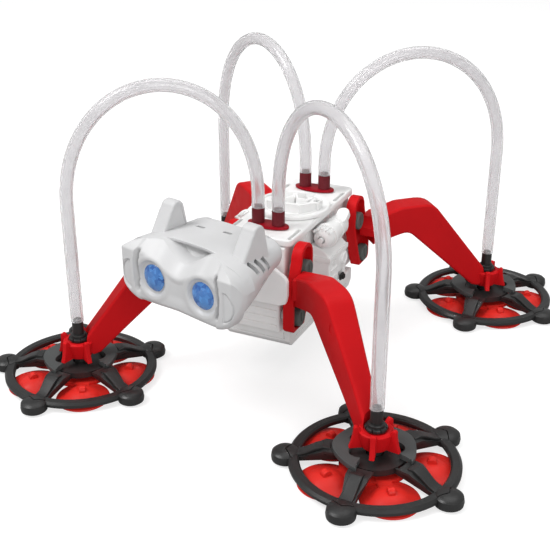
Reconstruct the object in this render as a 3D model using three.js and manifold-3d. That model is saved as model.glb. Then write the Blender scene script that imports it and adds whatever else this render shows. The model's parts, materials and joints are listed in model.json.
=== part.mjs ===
// A four-legged walking robot kit that climbs smooth walls on suction cups.
// Millimetres, +Z up. The robot faces -Y, its own left side is +X, and the origin is on the
// floor under the middle of its footprint.

import * as THREE from 'three';
import { mergeVertices } from 'three/addons/utils/BufferGeometryUtils.js';
import Module from 'manifold-3d';

const wasm = await Module();
wasm.setup();

// ---------------------------------------------------------------- driving dimensions

// Heights below are measured from a datum this far under the floor.
const datumDepth = 5;
const gap = 0.3;
const fineSides = 12;
const coarseSides = 8;

// The walking gear: every leg hangs on two crank pins of one throw, so it never tilts.
const crankThrow = 5.5;
const upperCrank = { y: 25.3, z: 59.1 };
const lowerCrank = { y: 33.0, z: 39.7 };
const crankPinRadius = 2.4;
const crankShaftRadius = 3;
const capRadius = 4.2;
const crankArm = { inner: 13.7, outer: 15.9, radius: 3 };
const pinEnd = 20.6;
const spurPlane = { inner: 3.5, outer: 6.5 };
const wormWheelPlane = { inner: -6, outer: -2 };
const toothModule = 1;
const crankTeeth = 12;
const idlerTeeth = 10;
const wormRadius = 2.2;

// The body.
const housing = { halfWidth: 13.2, halfLength: 37, footHalfLength: 42.2, wall: 2, low: 31.3, high: 69.7 };
const cover = { halfWidth: 15.8, halfLength: 36.8, low: 70, high: 73.4 };
const batteryCase = { halfWidth: 15.8, halfLength: 37.4, low: 22, high: 30.9, wall: 1.8 };
const nipple = { x: 4.83, y: 25.55, top: 82.7, radius: 2.1, bore: 1.1 };
const nipplePlate = { halfLength: 9.8, halfWidth: 4.4, thickness: 1.2 };
const turret = { radius: 17.2, height: 1.6, rimWidth: 1.5 };
const pumpBox = { inner: 13.5, outer: 23, halfLength: 10.2, low: 41, high: 57.5 };
const switchWell = { y: 3, z: 45, radius: 2.4 };
const pump = { x: 19.6, z: 65.2, radius: 4.7, halfLength: 12.2, bore: 3.4 };

// A leg: bracket on the crank pins, arm out to the knee, shin down to the ankle cup.
const bracket = { inner: 16.4, web: 18.3, outer: 21.3, rim: 1.6 };
const armRoot = new THREE.Vector2(21, 30.5);
const ankle = new THREE.Vector2(72.8, 76.2);
const finThickness = 1.6;
const ankleCup = { low: 15.1, high: 22.6, radius: 7, bore: 3.35, finReach: 10.5 };

// A foot: five suction cups under a ring with five knobs.
const foot = { knobCircle: 35, knobRadius: 5.8, cupCircle: 21.7, cupRadius: 11.6, count: 5 };
const footRing = { inner: 29.5, outer: 34.1, low: 7, high: 9.6 };
const hubPlate = { radius: 16.5, low: 12.6, high: 14.8 };
const nozzle = { low: 8.5, top: 31.6, stemRadius: 3, barbRadius: 2.1, bore: 1.1 };
const nozzleFlange = { low: 22.9, high: 24.6, radius: 4.1 };

// The clear air tubes.
const tubeSides = 6;
const tube = { radius: 2.9, bore: 2.6, apex: 137, shoulder: 82, archHandle: 36, apexHandle: 0.52 };

// The head, in its own frame before it is turned on its neck.
const head = { pivotY: -40, turn: THREE.MathUtils.degToRad(-13.4), eyeX: 13.6, eyeZ: 67.8, faceY: -90 };
const shell = { front: -87, rear: -52 };
const neck = { halfWidth: 20, front: -49.4, rear: -37.3, low: 48.5, high: 66.2 };

// ---------------------------------------------------------------- materials

function plastic(color, roughness) {
  return new THREE.MeshStandardMaterial({ color, roughness, metalness: 0 });
}

function metal(color) {
  return new THREE.MeshStandardMaterial({ color, roughness: 0.35, metalness: 1 });
}

function clear(color, opacity) {
  const settings = { color, opacity, roughness: 0.1, metalness: 0, transparent: true };
  return new THREE.MeshStandardMaterial(settings);
}

const materials = {
  white: plastic(0xf2f2f0, 0.45),
  paleGrey: plastic(0xdcdde0, 0.4),
  red: plastic(0xc81c20, 0.3),
  darkRed: plastic(0x7a1c26, 0.35),
  black: plastic(0x2e2f2f, 0.4),
  grey: plastic(0x4b4f4e, 0.45),
  cupRed: plastic(0xd72d28, 0.35),
  lens: plastic(0x3264b4, 0.15),
  tube: clear(0xf4f4f4, 0.35),
  brass: metal(0xb8913c),
  steel: metal(0xa8abb0),
};

// ---------------------------------------------------------------- solid helpers

function toSolid(geometry) {
  const bare = geometry.clone();
  bare.deleteAttribute('normal');
  bare.deleteAttribute('uv');
  const merged = mergeVertices(bare, 1e-4);
  const mesh = new wasm.Mesh({
    numProp: 3,
    vertProperties: new Float32Array(merged.attributes.position.array),
    triVerts: new Uint32Array(merged.index.array),
  });
  return new wasm.Manifold(mesh);
}

function toGeometry(solid) {
  const mesh = solid.getMesh();
  const geometry = new THREE.BufferGeometry();
  geometry.setAttribute('position', new THREE.BufferAttribute(mesh.vertProperties, 3));
  geometry.setIndex(new THREE.BufferAttribute(mesh.triVerts, 1));
  return geometry;
}

function join(...geometries) {
  return toGeometry(geometries.map(toSolid).reduce((whole, next) => whole.add(next)));
}

function cut(geometry, ...tools) {
  return toGeometry(tools.map(toSolid).reduce((whole, tool) => whole.subtract(tool), toSolid(geometry)));
}

// Turns a shape extruded along +Z so that it runs along +X, with the shape's x along Y and y up.
function acrossX(geometry) {
  const x = new THREE.Vector3(1, 0, 0);
  const y = new THREE.Vector3(0, 1, 0);
  const z = new THREE.Vector3(0, 0, 1);
  return geometry.applyMatrix4(new THREE.Matrix4().makeBasis(y, z, x));
}

// Turns a shape extruded along +Z so that it runs along -Y, with the shape's x along X and y up.
function acrossY(geometry) {
  const x = new THREE.Vector3(1, 0, 0);
  const back = new THREE.Vector3(0, -1, 0);
  const z = new THREE.Vector3(0, 0, 1);
  return geometry.applyMatrix4(new THREE.Matrix4().makeBasis(x, z, back));
}

function box(x0, x1, y0, y1, z0, z1) {
  const block = new THREE.BoxGeometry(x1 - x0, y1 - y0, z1 - z0);
  return block.translate((x0 + x1) / 2, (y0 + y1) / 2, (z0 + z1) / 2);
}

// An upright round rod from one height to another.
function rod(radius, low, high, sides = fineSides, topRadius = radius) {
  const cylinder = new THREE.CylinderGeometry(topRadius, radius, high - low, sides);
  return cylinder.rotateX(Math.PI / 2).translate(0, 0, (low + high) / 2);
}

// A round rod along X, with its axis at the given place.
function axle(radius, from, to, y, z, sides = fineSides) {
  return acrossX(rod(radius, from, to, sides)).translate(0, y, z);
}

// A ring or cup turned about Z. The profile is a closed loop of [radius, height] pairs.
function turned(profile, sides = fineSides) {
  const points = profile.map(([radius, height]) => new THREE.Vector2(radius, height));
  const onAxis = points[0].x === 0;
  if (!onAxis) points.push(points[0].clone());
  return new THREE.LatheGeometry(points, sides).rotateX(Math.PI / 2);
}

function outline(points) {
  return new THREE.Shape(points.map(([x, y]) => new THREE.Vector2(x, y)));
}

function slab(shape, depth, curveSegments = 6) {
  return new THREE.ExtrudeGeometry(shape, { depth, bevelEnabled: false, curveSegments });
}

function roundHole(x, y, radius, sides = fineSides) {
  const path = new THREE.Path();
  path.setFromPoints(circle(x, y, radius, sides));
  return path;
}

function circle(x, y, radius, sides) {
  return Array.from({ length: sides }, (_, i) => {
    const angle = (i * 2 * Math.PI) / sides;
    return new THREE.Vector2(x + radius * Math.cos(angle), y + radius * Math.sin(angle));
  });
}

// The radius to give a faceted hole so that its flats clear a round pin.
function clearance(radius, sides = fineSides) {
  return (radius + 0.06) / Math.cos(Math.PI / sides);
}

function inOrder(a, b) {
  return a < b ? [a, b] : [b, a];
}

function addMesh(parent, name, geometry, material) {
  const mesh = new THREE.Mesh(geometry, material);
  mesh.name = name;
  parent.add(mesh);
  return mesh;
}

// ---------------------------------------------------------------- gears

// A spur gear about Z with straight-flanked teeth, slim enough to run with backlash.
function gearShape(teeth, phase) {
  const pitch = (2 * Math.PI) / teeth;
  const pitchRadius = (teeth * toothModule) / 2;
  const root = pitchRadius - 1.25 * toothModule;
  const tip = pitchRadius + 0.7 * toothModule;
  const points = [];
  for (let i = 0; i < teeth; i += 1) {
    const middle = phase + i * pitch;
    for (const [radius, share] of [[root, -0.3], [tip, -0.11], [tip, 0.11], [root, 0.3]]) {
      const angle = middle + share * pitch;
      points.push(new THREE.Vector2(radius * Math.cos(angle), radius * Math.sin(angle)));
    }
  }
  return new THREE.Shape(points);
}

function gear(teeth, phase, plane) {
  return acrossX(slab(gearShape(teeth, phase), plane.outer - plane.inner)).translate(plane.inner, 0, 0);
}

// The angle a follower needs so that one of its gaps meets the driver's tooth on the line of centres.
function meshingPhase(driver, driverPhase, driverTeeth, follower, followerTeeth) {
  const toFollower = Math.atan2(follower.z - driver.z, follower.y - driver.y);
  const driverTurn = (toFollower - driverPhase) * (driverTeeth / followerTeeth);
  return toFollower + Math.PI + driverTurn + Math.PI / followerTeeth;
}

// The idler sits inboard of the line between the two crank gears and meshes with both.
function idlerPlace(side) {
  const upper = new THREE.Vector2(upperCrank.y, upperCrank.z);
  const lower = new THREE.Vector2(lowerCrank.y, lowerCrank.z);
  const reach = ((crankTeeth + idlerTeeth) * toothModule) / 2;
  const half = upper.distanceTo(lower) / 2;
  const along = lower.clone().sub(upper).normalize();
  const inboard = new THREE.Vector2(along.y, -along.x);
  const middle = upper.clone().add(lower).multiplyScalar(0.5);
  const place = middle.addScaledVector(inboard, Math.sqrt(reach * reach - half * half));
  return { y: side * place.x, z: place.y };
}

// ---------------------------------------------------------------- walking gear

// A crankshaft carries the left and right legs half a turn apart.
function crankshaftGeometry(leftStep) {
  const shaftEnd = crankArm.inner + 0.5;
  const parts = [axle(crankShaftRadius, -shaftEnd, shaftEnd, 0, 0, coarseSides)];
  for (const side of [1, -1]) {
    const throwY = side * leftStep;
    const [x0, x1] = inOrder(side * crankArm.inner, side * crankArm.outer);
    const [p0, p1] = inOrder(side * shaftEnd, side * pinEnd);
    const arm = new THREE.Shape();
    arm.absarc(Math.max(0, throwY), 0, crankArm.radius, -Math.PI / 2, Math.PI / 2);
    arm.absarc(Math.min(0, throwY), 0, crankArm.radius, Math.PI / 2, 1.5 * Math.PI);
    parts.push(acrossX(slab(arm, x1 - x0, 5)).translate(x0, 0, 0));
    parts.push(axle(crankPinRadius, p0, p1, throwY, 0, fineSides));
  }
  return parts;
}

function addCrankshaft(parent, name, place, leftStep, spurPhase, hasWormWheel) {
  const parts = crankshaftGeometry(leftStep);
  parts.push(gear(crankTeeth, spurPhase, spurPlane));
  if (hasWormWheel) parts.push(gear(crankTeeth, 0, wormWheelPlane));
  const shaft = addMesh(parent, name, join(...parts), materials.paleGrey);
  shaft.position.set(0, place.y, place.z);
}

// The round grey head that holds a leg on its crank pin.
function pinCapGeometry() {
  const socket = crankPinRadius + gap;
  const profile = [[0, 2.3], [socket, 2.3], [socket, 0], [capRadius, 0], [capRadius, 3.4], [0, 3.4]];
  return turned(profile, coarseSides);
}

function addPinCap(parent, name, side, y, z) {
  const cap = addMesh(parent, name, acrossX(pinCapGeometry()), materials.grey);
  cap.rotation.z = side > 0 ? 0 : Math.PI;
  cap.position.set(side * (bracket.web + gap), y, z);
}

function addWalkingGear(parent) {
  for (const [end, side, leftStep] of [['front', -1, -crankThrow], ['rear', 1, crankThrow]]) {
    const upper = { y: side * upperCrank.y, z: upperCrank.z };
    const lower = { y: side * lowerCrank.y, z: lowerCrank.z };
    const idler = idlerPlace(side);
    const idlerPhase = meshingPhase(upper, 0, crankTeeth, idler, idlerTeeth);
    const lowerPhase = meshingPhase(idler, idlerPhase, idlerTeeth, lower, crankTeeth);
    addCrankshaft(parent, `crankshaft_${end}_upper`, upper, leftStep, 0, true);
    addCrankshaft(parent, `crankshaft_${end}_lower`, lower, leftStep, lowerPhase, false);
    const wheel = join(gear(idlerTeeth, idlerPhase, spurPlane), axle(1.5, 2.2, 7.8, 0, 0, coarseSides));
    addMesh(parent, `idler_${end}`, wheel, materials.brass).position.set(0, idler.y, idler.z);
    for (const [name, throwSide] of [['left', 1], ['right', -1]]) {
      const step = throwSide * leftStep;
      addPinCap(parent, `pin_${end}_${name}_upper`, throwSide, upper.y + step, upper.z);
      addPinCap(parent, `pin_${end}_${name}_lower`, throwSide, lower.y + step, lower.z);
    }
  }
}

// ---------------------------------------------------------------- body

// Side view of the housing: a deep foot for the lower cranks under a narrower top.
function housingOutline(inset) {
  const top = housing.halfLength - inset;
  const base = housing.footHalfLength - inset;
  const right = [[base, housing.low], [base, 47], [top, 52], [top, housing.high]];
  const left = right.map(([y, z]) => [-y, z]).reverse();
  return outline([...right, ...left]);
}

function housingGeometry() {
  const { halfWidth, wall, low, high } = housing;
  const room = halfWidth - wall;
  const opening = housing.halfLength - 1.5 * wall;
  const outer = acrossX(slab(housingOutline(0), 2 * halfWidth)).translate(-halfWidth, 0, 0);
  const inner = acrossX(slab(housingOutline(wall), 2 * room)).translate(-room, 0, 0);
  const openings = [inner, box(-room, room, -opening, opening, low - 1, low + wall + 1)];
  openings.push(box(-room, room, -opening, opening, high - wall - 1, high + 1));
  for (const side of [-1, 1]) {
    for (const crank of [upperCrank, lowerCrank]) {
      const hole = clearance(crankShaftRadius, coarseSides) + 0.2;
      openings.push(axle(hole, -halfWidth - 1, halfWidth + 1, side * crank.y, crank.z, coarseSides));
    }
  }
  openings.push(rod(6.6, 62, high + 1).translate(0, head.pivotY, 0));
  return cut(outer, ...openings);
}

function roundedRectangle(halfX, halfY, radius) {
  const shape = new THREE.Shape();
  shape.absarc(halfX - radius, halfY - radius, radius, 0, Math.PI / 2);
  shape.absarc(radius - halfX, halfY - radius, radius, Math.PI / 2, Math.PI);
  shape.absarc(radius - halfX, radius - halfY, radius, Math.PI, 1.5 * Math.PI);
  shape.absarc(halfX - radius, radius - halfY, radius, 1.5 * Math.PI, 2 * Math.PI);
  return shape;
}

function coverGeometry() {
  const { halfWidth, halfLength, low, high } = cover;
  const top = slab(roundedRectangle(halfWidth, halfLength, 3), high - low, 4).translate(0, 0, low);
  const slots = [];
  for (const side of [-1, 1]) {
    for (const [y0, y1] of [[-35.5, -23], [15, 28]]) {
      const [x0, x1] = inOrder(side * 13.4, side * 14.8);
      slots.push(box(x0, x1, y0, y1, low - 1, high + 1));
    }
  }
  return cut(top, ...slots);
}

// The low round turret on top: a rim, a T-shaped wall and two round wells.
function turretGeometry() {
  const base = cover.high + gap;
  const { radius, height, rimWidth } = turret;
  const rim = radius - rimWidth;
  const profile = [[0, 0], [radius, 0], [radius, height], [rim, height], [rim, 0.8], [0, 0.8]];
  const wall = join(box(-9, 9, -9, -7.2, 0.4, 3.4), box(5.4, 7.2, -8, 2, 0.4, 3.4));
  const wells = [rod(3.6, 0.4, 2.6, 6).translate(-4.4, 6, 0), rod(3.6, 0.4, 2.6, 6).translate(2, 9.4, 0)];
  const body = join(turned(profile, 20), wall, ...wells);
  const pits = [rod(2.6, 1.2, 4, 6).translate(-4.4, 6, 0), rod(2.6, 1.2, 4, 6).translate(2, 9.4, 0)];
  return cut(body, ...pits).translate(0, 0, base);
}

function nipplePlateGeometry() {
  const { halfLength, halfWidth, thickness } = nipplePlate;
  const base = cover.high + gap;
  const shape = new THREE.Shape();
  shape.absellipse(0, 0, halfLength, halfWidth, 0, 2 * Math.PI);
  const oval = slab(shape, thickness, 12);
  const top = nipple.top - base;
  const pair = (make) => [1, -1].map((side) => make().translate(side * nipple.x, 0, 0));
  const rods = pair(() => rod(nipple.radius, 0.5, top, coarseSides));
  const bores = pair(() => rod(nipple.bore, -1, top + 1, coarseSides));
  return cut(join(oval, ...rods), ...bores).translate(0, 0, base);
}

function batteryCaseGeometry() {
  const { halfWidth, halfLength, low, high, wall } = batteryCase;
  const [room, depth] = [halfWidth - wall, halfLength - wall];
  const shape = outline([
    [halfLength, high], [halfLength, low + 3], [halfLength - 3, low],
    [3 - halfLength, low], [-halfLength, low + 3], [-halfLength, high],
  ]);
  const solid = acrossX(slab(shape, 2 * halfWidth)).translate(-halfWidth, 0, 0);
  const cells = box(-room, room, -depth, depth, low + wall, high + 1);
  return cut(solid, cells);
}

function pumpBoxGeometry(side) {
  const { inner, outer, halfLength, low, high } = pumpBox;
  const points = [
    [inner, high + 4], [outer - 3, high + 1.5], [outer, high - 1], [outer, low],
    [outer - 3, low - 3], [inner, low - 3],
  ];
  const block = acrossY(slab(outline(points.map(([x, z]) => [side * x, z])), 2 * halfLength));
  block.translate(0, halfLength, 0);
  const lid = side * (outer + 0.7);
  const [x0, x1] = inOrder(side * inner, lid);
  const flange = box(x0, x1, -halfLength - 0.7, halfLength + 0.7, high - 3.6, high - 1.2);
  const [from, to] = inOrder(side * (outer - 2), side * (outer + 1));
  const { y, z, radius } = switchWell;
  return cut(join(block, flange), axle(radius, from, to, y, z, coarseSides));
}

function pumpCylinderProfile() {
  const { radius, halfLength, bore } = pump;
  const front = -halfLength;
  const collar = radius + 0.9;
  return [
    [bore, front], [radius, front], [radius, front + 5], [collar, front + 5], [collar, front + 7],
    [radius, front + 7], [radius, halfLength - 3], [radius - 1.2, halfLength], [0, halfLength],
    [0, halfLength - 2.2], [bore, halfLength - 2.2],
  ];
}

function addPumps(parent) {
  for (const [name, side] of [['left', 1], ['right', -1]]) {
    addMesh(parent, `pump_box_${name}`, pumpBoxGeometry(side), materials.white);
    const barrel = turned(pumpCylinderProfile()).rotateX(-Math.PI / 2);
    const cylinder = addMesh(parent, `pump_cylinder_${name}`, barrel, materials.white);
    cylinder.position.set(side * pump.x, 0, pump.z);
    const crown = rod(pump.bore - 0.2, -pump.halfLength + 1.5, -pump.halfLength + 6.5, coarseSides);
    const stem = rod(1.2, -pump.halfLength - 1.2, -pump.halfLength + 2, 12);
    const plunger = join(crown, stem).rotateX(-Math.PI / 2);
    const piston = addMesh(parent, `pump_piston_${name}`, plunger, materials.grey);
    piston.position.set(side * pump.x, 0, pump.z);
  }
}

function addMotor(parent) {
  const x = (wormWheelPlane.inner + wormWheelPlane.outer) / 2;
  const z = upperCrank.z - (crankTeeth * toothModule) / 2 - wormRadius - 1.1;
  const can = turned([[0, -14], [7, -14], [7, 14], [0, 14]]).rotateX(-Math.PI / 2);
  const bore = rod(1.6, -20, 20, 12).rotateX(-Math.PI / 2);
  addMesh(parent, 'motor', cut(can, bore), materials.steel).position.set(x, 0, z);
  const spindle = rod(1.2, -33, 33, 12);
  const worms = [rod(wormRadius, -31, -19, 12), rod(wormRadius, 19, 31, 12)];
  const shaft = join(spindle, ...worms).rotateX(-Math.PI / 2);
  addMesh(parent, 'motor_shaft', shaft, materials.brass).position.set(x, 0, z);
}

function addBody(parent) {
  addMesh(parent, 'housing', housingGeometry(), materials.white);
  addMesh(parent, 'top_cover', coverGeometry(), materials.white);
  addMesh(parent, 'turret', turretGeometry(), materials.white);
  addMesh(parent, 'battery_case', batteryCaseGeometry(), materials.white);
  for (const [end, side] of [['front', -1], ['rear', 1]]) {
    const nipples = addMesh(parent, `air_port_${end}`, nipplePlateGeometry(), materials.darkRed);
    nipples.position.y = side * nipple.y;
  }
  const slider = join(box(23.3, 24.3, 1.2, 5.2, 40.6, 43.4), box(24, 25.2, 2.4, 4, 41, 43));
  addMesh(parent, 'power_switch', slider, materials.black);
  addPumps(parent);
  addMotor(parent);
}

// ---------------------------------------------------------------- legs

// The upright bracket's side view; its first coordinate runs away from the body's middle.
function bracketPoints(inset) {
  const top = { y: 25.9, z: 64.7, radius: 6.6 - inset };
  const arc = [0, 45, 90, 135, 180].map((degrees) => {
    const angle = THREE.MathUtils.degToRad(degrees);
    return [top.y + top.radius * Math.cos(angle), top.z + top.radius * Math.sin(angle)];
  });
  return [
    [28 + inset, 34.4 + inset], [39 - inset, 34.4 + inset], [40.5 - inset, 36 + inset], [40.5 - inset, 49],
    [35 - inset, 58], ...arc, [19.4 + inset, 56], [25 + inset, 41],
  ];
}

function bracketGeometry(hand) {
  const plate = (inset, from) => {
    const points = bracketPoints(inset).map(([y, z]) => [hand * y, z]);
    const depth = bracket.outer - bracket.inner;
    return acrossX(slab(outline(points), depth)).translate(from, 0, 0);
  };
  return cut(plate(0, bracket.inner), plate(bracket.rim, bracket.web));
}

// Arm and shin as one beam in the upright plane from the bracket to the ankle.
function beamGeometry(hand) {
  const shape = new THREE.Shape();
  shape.moveTo(-2.4, 45.2);
  shape.lineTo(8, 47.6);
  shape.lineTo(19, 50.6);
  shape.quadraticCurveTo(23, 51, 26, 47.8);
  shape.lineTo(34.6, 39.6);
  shape.lineTo(60, 16.4);
  shape.lineTo(65.5, 15.6);
  shape.lineTo(67, 24.3);
  shape.lineTo(38, 60.4);
  shape.quadraticCurveTo(34.6, 64.2, 28, 64.2);
  shape.lineTo(18, 64.2);
  shape.lineTo(-2.4, 57.6);
  const width = 12.6;
  const beam = slab(shape, width, 4).translate(0, 0, -width / 2);
  taperBeam(beam, width);
  const direction = ankle.clone().sub(armRoot).normalize();
  const along = new THREE.Vector3(direction.x, hand * direction.y, 0);
  const up = new THREE.Vector3(0, 0, 1);
  const across = new THREE.Vector3().crossVectors(along, up);
  beam.applyMatrix4(new THREE.Matrix4().makeBasis(along, up, across));
  return beam.translate(armRoot.x, hand * armRoot.y, 0);
}

function taperBeam(beam, width) {
  const place = beam.attributes.position;
  const kneeAt = 32;
  const ankleAt = 67;
  for (let i = 0; i < place.count; i += 1) {
    const share = THREE.MathUtils.clamp((place.getX(i) - kneeAt) / (ankleAt - kneeAt), 0, 1);
    place.setZ(i, place.getZ(i) * (1 - share * (1 - 8.4 / width)));
  }
}

// The cup that turns on the foot's stem, with five fins around it.
function ankleCupGeometry(hand) {
  const { low, high, radius, finReach } = ankleCup;
  const root = radius - 3;
  const parts = [rod(radius - 1.4, low, high, fineSides, radius)];
  for (let i = 0; i < foot.count; i += 1) {
    const side = outline([[root, low + 1.5], [finReach, high - 0.6], [root, high - 2]]);
    const fin = acrossY(slab(side, finThickness)).translate(0, finThickness / 2, 0);
    fin.rotateZ(footAngle(i - 0.5));
    parts.push(fin);
  }
  return join(...parts).translate(ankle.x, hand * ankle.y, 0);
}

// A leg with its pin holes, room for the pin caps, and the bore for the foot's stem.
function legGeometry(hand) {
  const { low, high, bore } = ankleCup;
  const { inner, web, outer } = bracket;
  const whole = join(bracketGeometry(hand), beamGeometry(hand), ankleCupGeometry(hand));
  const stemBore = rod(bore, low - 1, high + 20);
  const flangeRoom = rod(nozzleFlange.radius + 0.8, high, high + 20);
  const tools = [stemBore, flangeRoom].map((tool) => tool.translate(ankle.x, hand * ankle.y, 0));
  for (const crank of [upperCrank, lowerCrank]) {
    tools.push(axle(clearance(crankPinRadius), inner - 1, outer + 1, hand * crank.y, crank.z));
    tools.push(axle(capRadius + 0.6, web, outer + 12, hand * crank.y, crank.z));
  }
  tools.push(box(inner - 9, inner, -80, 80, 30, 80));
  return cut(whole, ...tools);
}

// ---------------------------------------------------------------- feet

function footAngle(index) {
  return THREE.MathUtils.degToRad(-90 + (360 / foot.count) * index);
}

// Side view of a spoke: level over the hub, folded down to the ring.
function spokeProfile() {
  const { knobCircle, knobRadius } = foot;
  const end = knobCircle - knobRadius + 1.3;
  return outline([[10, 9.7], [end, 7], [end, 10], [21.5, 13.2], [17.5, 13.6], [16.8, 12.1], [10, 12.1]]);
}

// The ring, knobs, spokes and hub of one foot.
function footFrameGeometry() {
  const { inner, outer, low, high } = footRing;
  const { knobCircle, knobRadius, count } = foot;
  const spokeWidth = 5;
  const ring = turned([[inner, low], [outer, low], [outer, high], [inner, high]], 20);
  const hub = turned([[4, 9.6], [12.5, 9.6], [12.5, 12.2], [4, 12.2]], coarseSides);
  const parts = [ring, hub];
  for (let i = 0; i < count; i += 1) {
    const knob = rod(knobRadius, datumDepth + 0.5, 10, 8).translate(knobCircle, 0, 0);
    const spoke = acrossY(slab(spokeProfile(), spokeWidth)).translate(0, spokeWidth / 2, 0);
    parts.push(knob.rotateZ(footAngle(i)), spoke.rotateZ(footAngle(i)));
  }
  return join(...parts);
}

// The grey plate over the hub, with a notch around each spoke.
function hubPlateGeometry() {
  const { radius, low, high } = hubPlate;
  const disc = rod(radius, low, high, 20);
  const tools = [rod(nozzle.stemRadius + gap, low - 1, high + 1, coarseSides)];
  for (let i = 0; i < foot.count; i += 1) {
    tools.push(box(15.6, 22, -3, 3, low - 1, high + 1).rotateZ(footAngle(i)));
  }
  return cut(disc, ...tools);
}

// Five flat suction cups moulded in one piece with a middle web; each has a nub at its crown.
function cupsGeometry() {
  const { cupCircle, cupRadius, count } = foot;
  const floor = datumDepth;
  const skirt = 7.4;
  const cupProfile = [
    [0, floor + 2], [4.6, floor + 1.5], [skirt, floor + 0.5], [cupRadius - 0.7, floor],
    [cupRadius, floor], [cupRadius, floor + 0.5], [skirt, floor + 1.4], [5.4, floor + 3],
    [2.4, floor + 3.8], [0, floor + 3.8],
  ];
  const parts = [rod(14, floor + 1, floor + 2.4, coarseSides)];
  for (let i = 0; i < count; i += 1) {
    const nub = box(-2.4, 2.4, -1.3, 1.3, floor + 3, floor + 6);
    const cup = join(turned(cupProfile, fineSides), nub).translate(cupCircle, 0, 0);
    parts.push(cup.rotateZ(footAngle(i + 0.5)));
  }
  return cut(join(...parts), rod(3.4, 0, 12, coarseSides));
}

// The hollow barbed nozzle that the tube pushes onto; its stem is the foot's swivel.
function nozzleGeometry() {
  const { low, top, stemRadius, barbRadius, bore } = nozzle;
  const flange = nozzleFlange;
  const profile = [
    [bore, low], [stemRadius, low], [stemRadius, flange.low], [flange.radius, flange.low],
    [flange.radius, flange.high], [barbRadius, flange.high], [barbRadius - 0.3, top], [bore, top],
  ];
  return turned(profile, coarseSides);
}

function addFoot(parent, corner, x, y) {
  const group = new THREE.Group();
  group.position.set(x, y, 0);
  addMesh(group, `foot_frame_${corner}`, footFrameGeometry(), materials.black);
  addMesh(group, `foot_plate_${corner}`, hubPlateGeometry(), materials.grey);
  addMesh(group, `suction_cups_${corner}`, cupsGeometry(), materials.cupRed);
  addMesh(group, `nozzle_${corner}`, nozzleGeometry(), materials.black);
  parent.add(group);
}

// ---------------------------------------------------------------- air tubes

// A tube stands up off its port, arches over in one upright plane and drops onto the nozzle.
function tubeGeometry(start, end) {
  const at = (share, z) => new THREE.Vector3(
    start.x + share * (end.x - start.x),
    start.y + share * (end.y - start.y),
    z,
  );
  const { apex, shoulder, archHandle, apexHandle } = tube;
  const reach = apexHandle / 2;
  const top = at(0.5, apex);
  const path = new THREE.CurvePath();
  const bend = (...points) => path.add(new THREE.CubicBezierCurve3(...points));
  path.add(new THREE.LineCurve3(at(0, start.z), at(0, shoulder)));
  bend(at(0, shoulder), at(0, shoulder + archHandle), at(0.5 - reach, apex), top);
  bend(top, at(0.5 + reach, apex), at(1, shoulder + archHandle), at(1, shoulder));
  path.add(new THREE.LineCurve3(at(1, shoulder), at(1, end.z)));
  const section = new THREE.Shape(circle(0, 0, tube.radius, tubeSides));
  section.holes.push(roundHole(0, 0, tube.bore, tubeSides));
  const steps = 16;
  return new THREE.ExtrudeGeometry(section, { steps, extrudePath: path });
}

// ---------------------------------------------------------------- corners

// Each leg is a copy or a half-turned copy of one of two hands; the gait sets it off along Y.
const corners = [
  { name: 'front_left', turn: 0, hand: -1, step: -crankThrow },
  { name: 'rear_right', turn: Math.PI, hand: -1, step: -crankThrow },
  { name: 'rear_left', turn: 0, hand: 1, step: crankThrow },
  { name: 'front_right', turn: Math.PI, hand: 1, step: crankThrow },
];

function addCorners(parent) {
  for (const { name, turn, hand, step } of corners) {
    const side = turn === 0 ? 1 : -1;
    const leg = addMesh(parent, `leg_${name}`, legGeometry(hand), materials.red);
    leg.rotation.z = turn;
    leg.position.y = step;
    const x = side * ankle.x;
    const y = side * hand * ankle.y + step;
    addFoot(parent, name, x, y);
    const plateTop = cover.high + gap + nipplePlate.thickness;
    const port = { x: side * nipple.x, y: side * hand * nipple.y, z: plateTop + gap };
    const socket = { x, y, z: nozzleFlange.high + gap };
    addMesh(parent, `tube_${name}`, tubeGeometry(port, socket), materials.tube);
  }
}

// ---------------------------------------------------------------- head

// Front view of the goggle face: bumps over the eyes, a dip between them, full cheeks below.
function faceShape() {
  const shape = new THREE.Shape();
  shape.moveTo(0, 77.5);
  shape.bezierCurveTo(5, 77.5, 6, 83.2, 13, 83.4);
  shape.bezierCurveTo(22, 83.6, 28.5, 78, 28.6, 69);
  shape.bezierCurveTo(28.6, 61, 23, 57.6, 15, 57.2);
  shape.lineTo(0, 58);
  shape.lineTo(-15, 57.2);
  shape.bezierCurveTo(-23, 57.6, -28.6, 61, -28.6, 69);
  shape.bezierCurveTo(-28.5, 78, -22, 83.6, -13, 83.4);
  shape.bezierCurveTo(-6, 83.2, -5, 77.5, 0, 77.5);
  return shape;
}

function shellShape() {
  const shape = new THREE.Shape();
  shape.moveTo(0, 85.4);
  shape.bezierCurveTo(12, 85.4, 22, 85, 27, 81.5);
  shape.bezierCurveTo(31, 79, 32.4, 75, 32, 70);
  shape.bezierCurveTo(31.4, 62, 28, 57, 21, 55.8);
  shape.lineTo(0, 56.4);
  shape.lineTo(-21, 55.8);
  shape.bezierCurveTo(-28, 57, -31.4, 62, -32, 70);
  shape.bezierCurveTo(-32.4, 75, -31, 79, -27, 81.5);
  shape.bezierCurveTo(-22, 85, -12, 85.4, 0, 85.4);
  return shape;
}

// The shell shrinks towards the back, mostly from below.
function narrowShell(geometry) {
  const place = geometry.attributes.position;
  for (let i = 0; i < place.count; i += 1) {
    const share = THREE.MathUtils.clamp((place.getY(i) - shell.front) / (shell.rear - shell.front), 0, 1);
    place.setX(i, place.getX(i) * (1 - 0.3 * share));
    place.setZ(i, 82.5 + (place.getZ(i) - 82.5) * (1 - 0.5 * share));
  }
  return geometry;
}

function shellBlockGeometry() {
  const block = acrossY(slab(shellShape(), shell.rear - shell.front, 5));
  return narrowShell(block.translate(0, shell.rear, 0));
}

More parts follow.
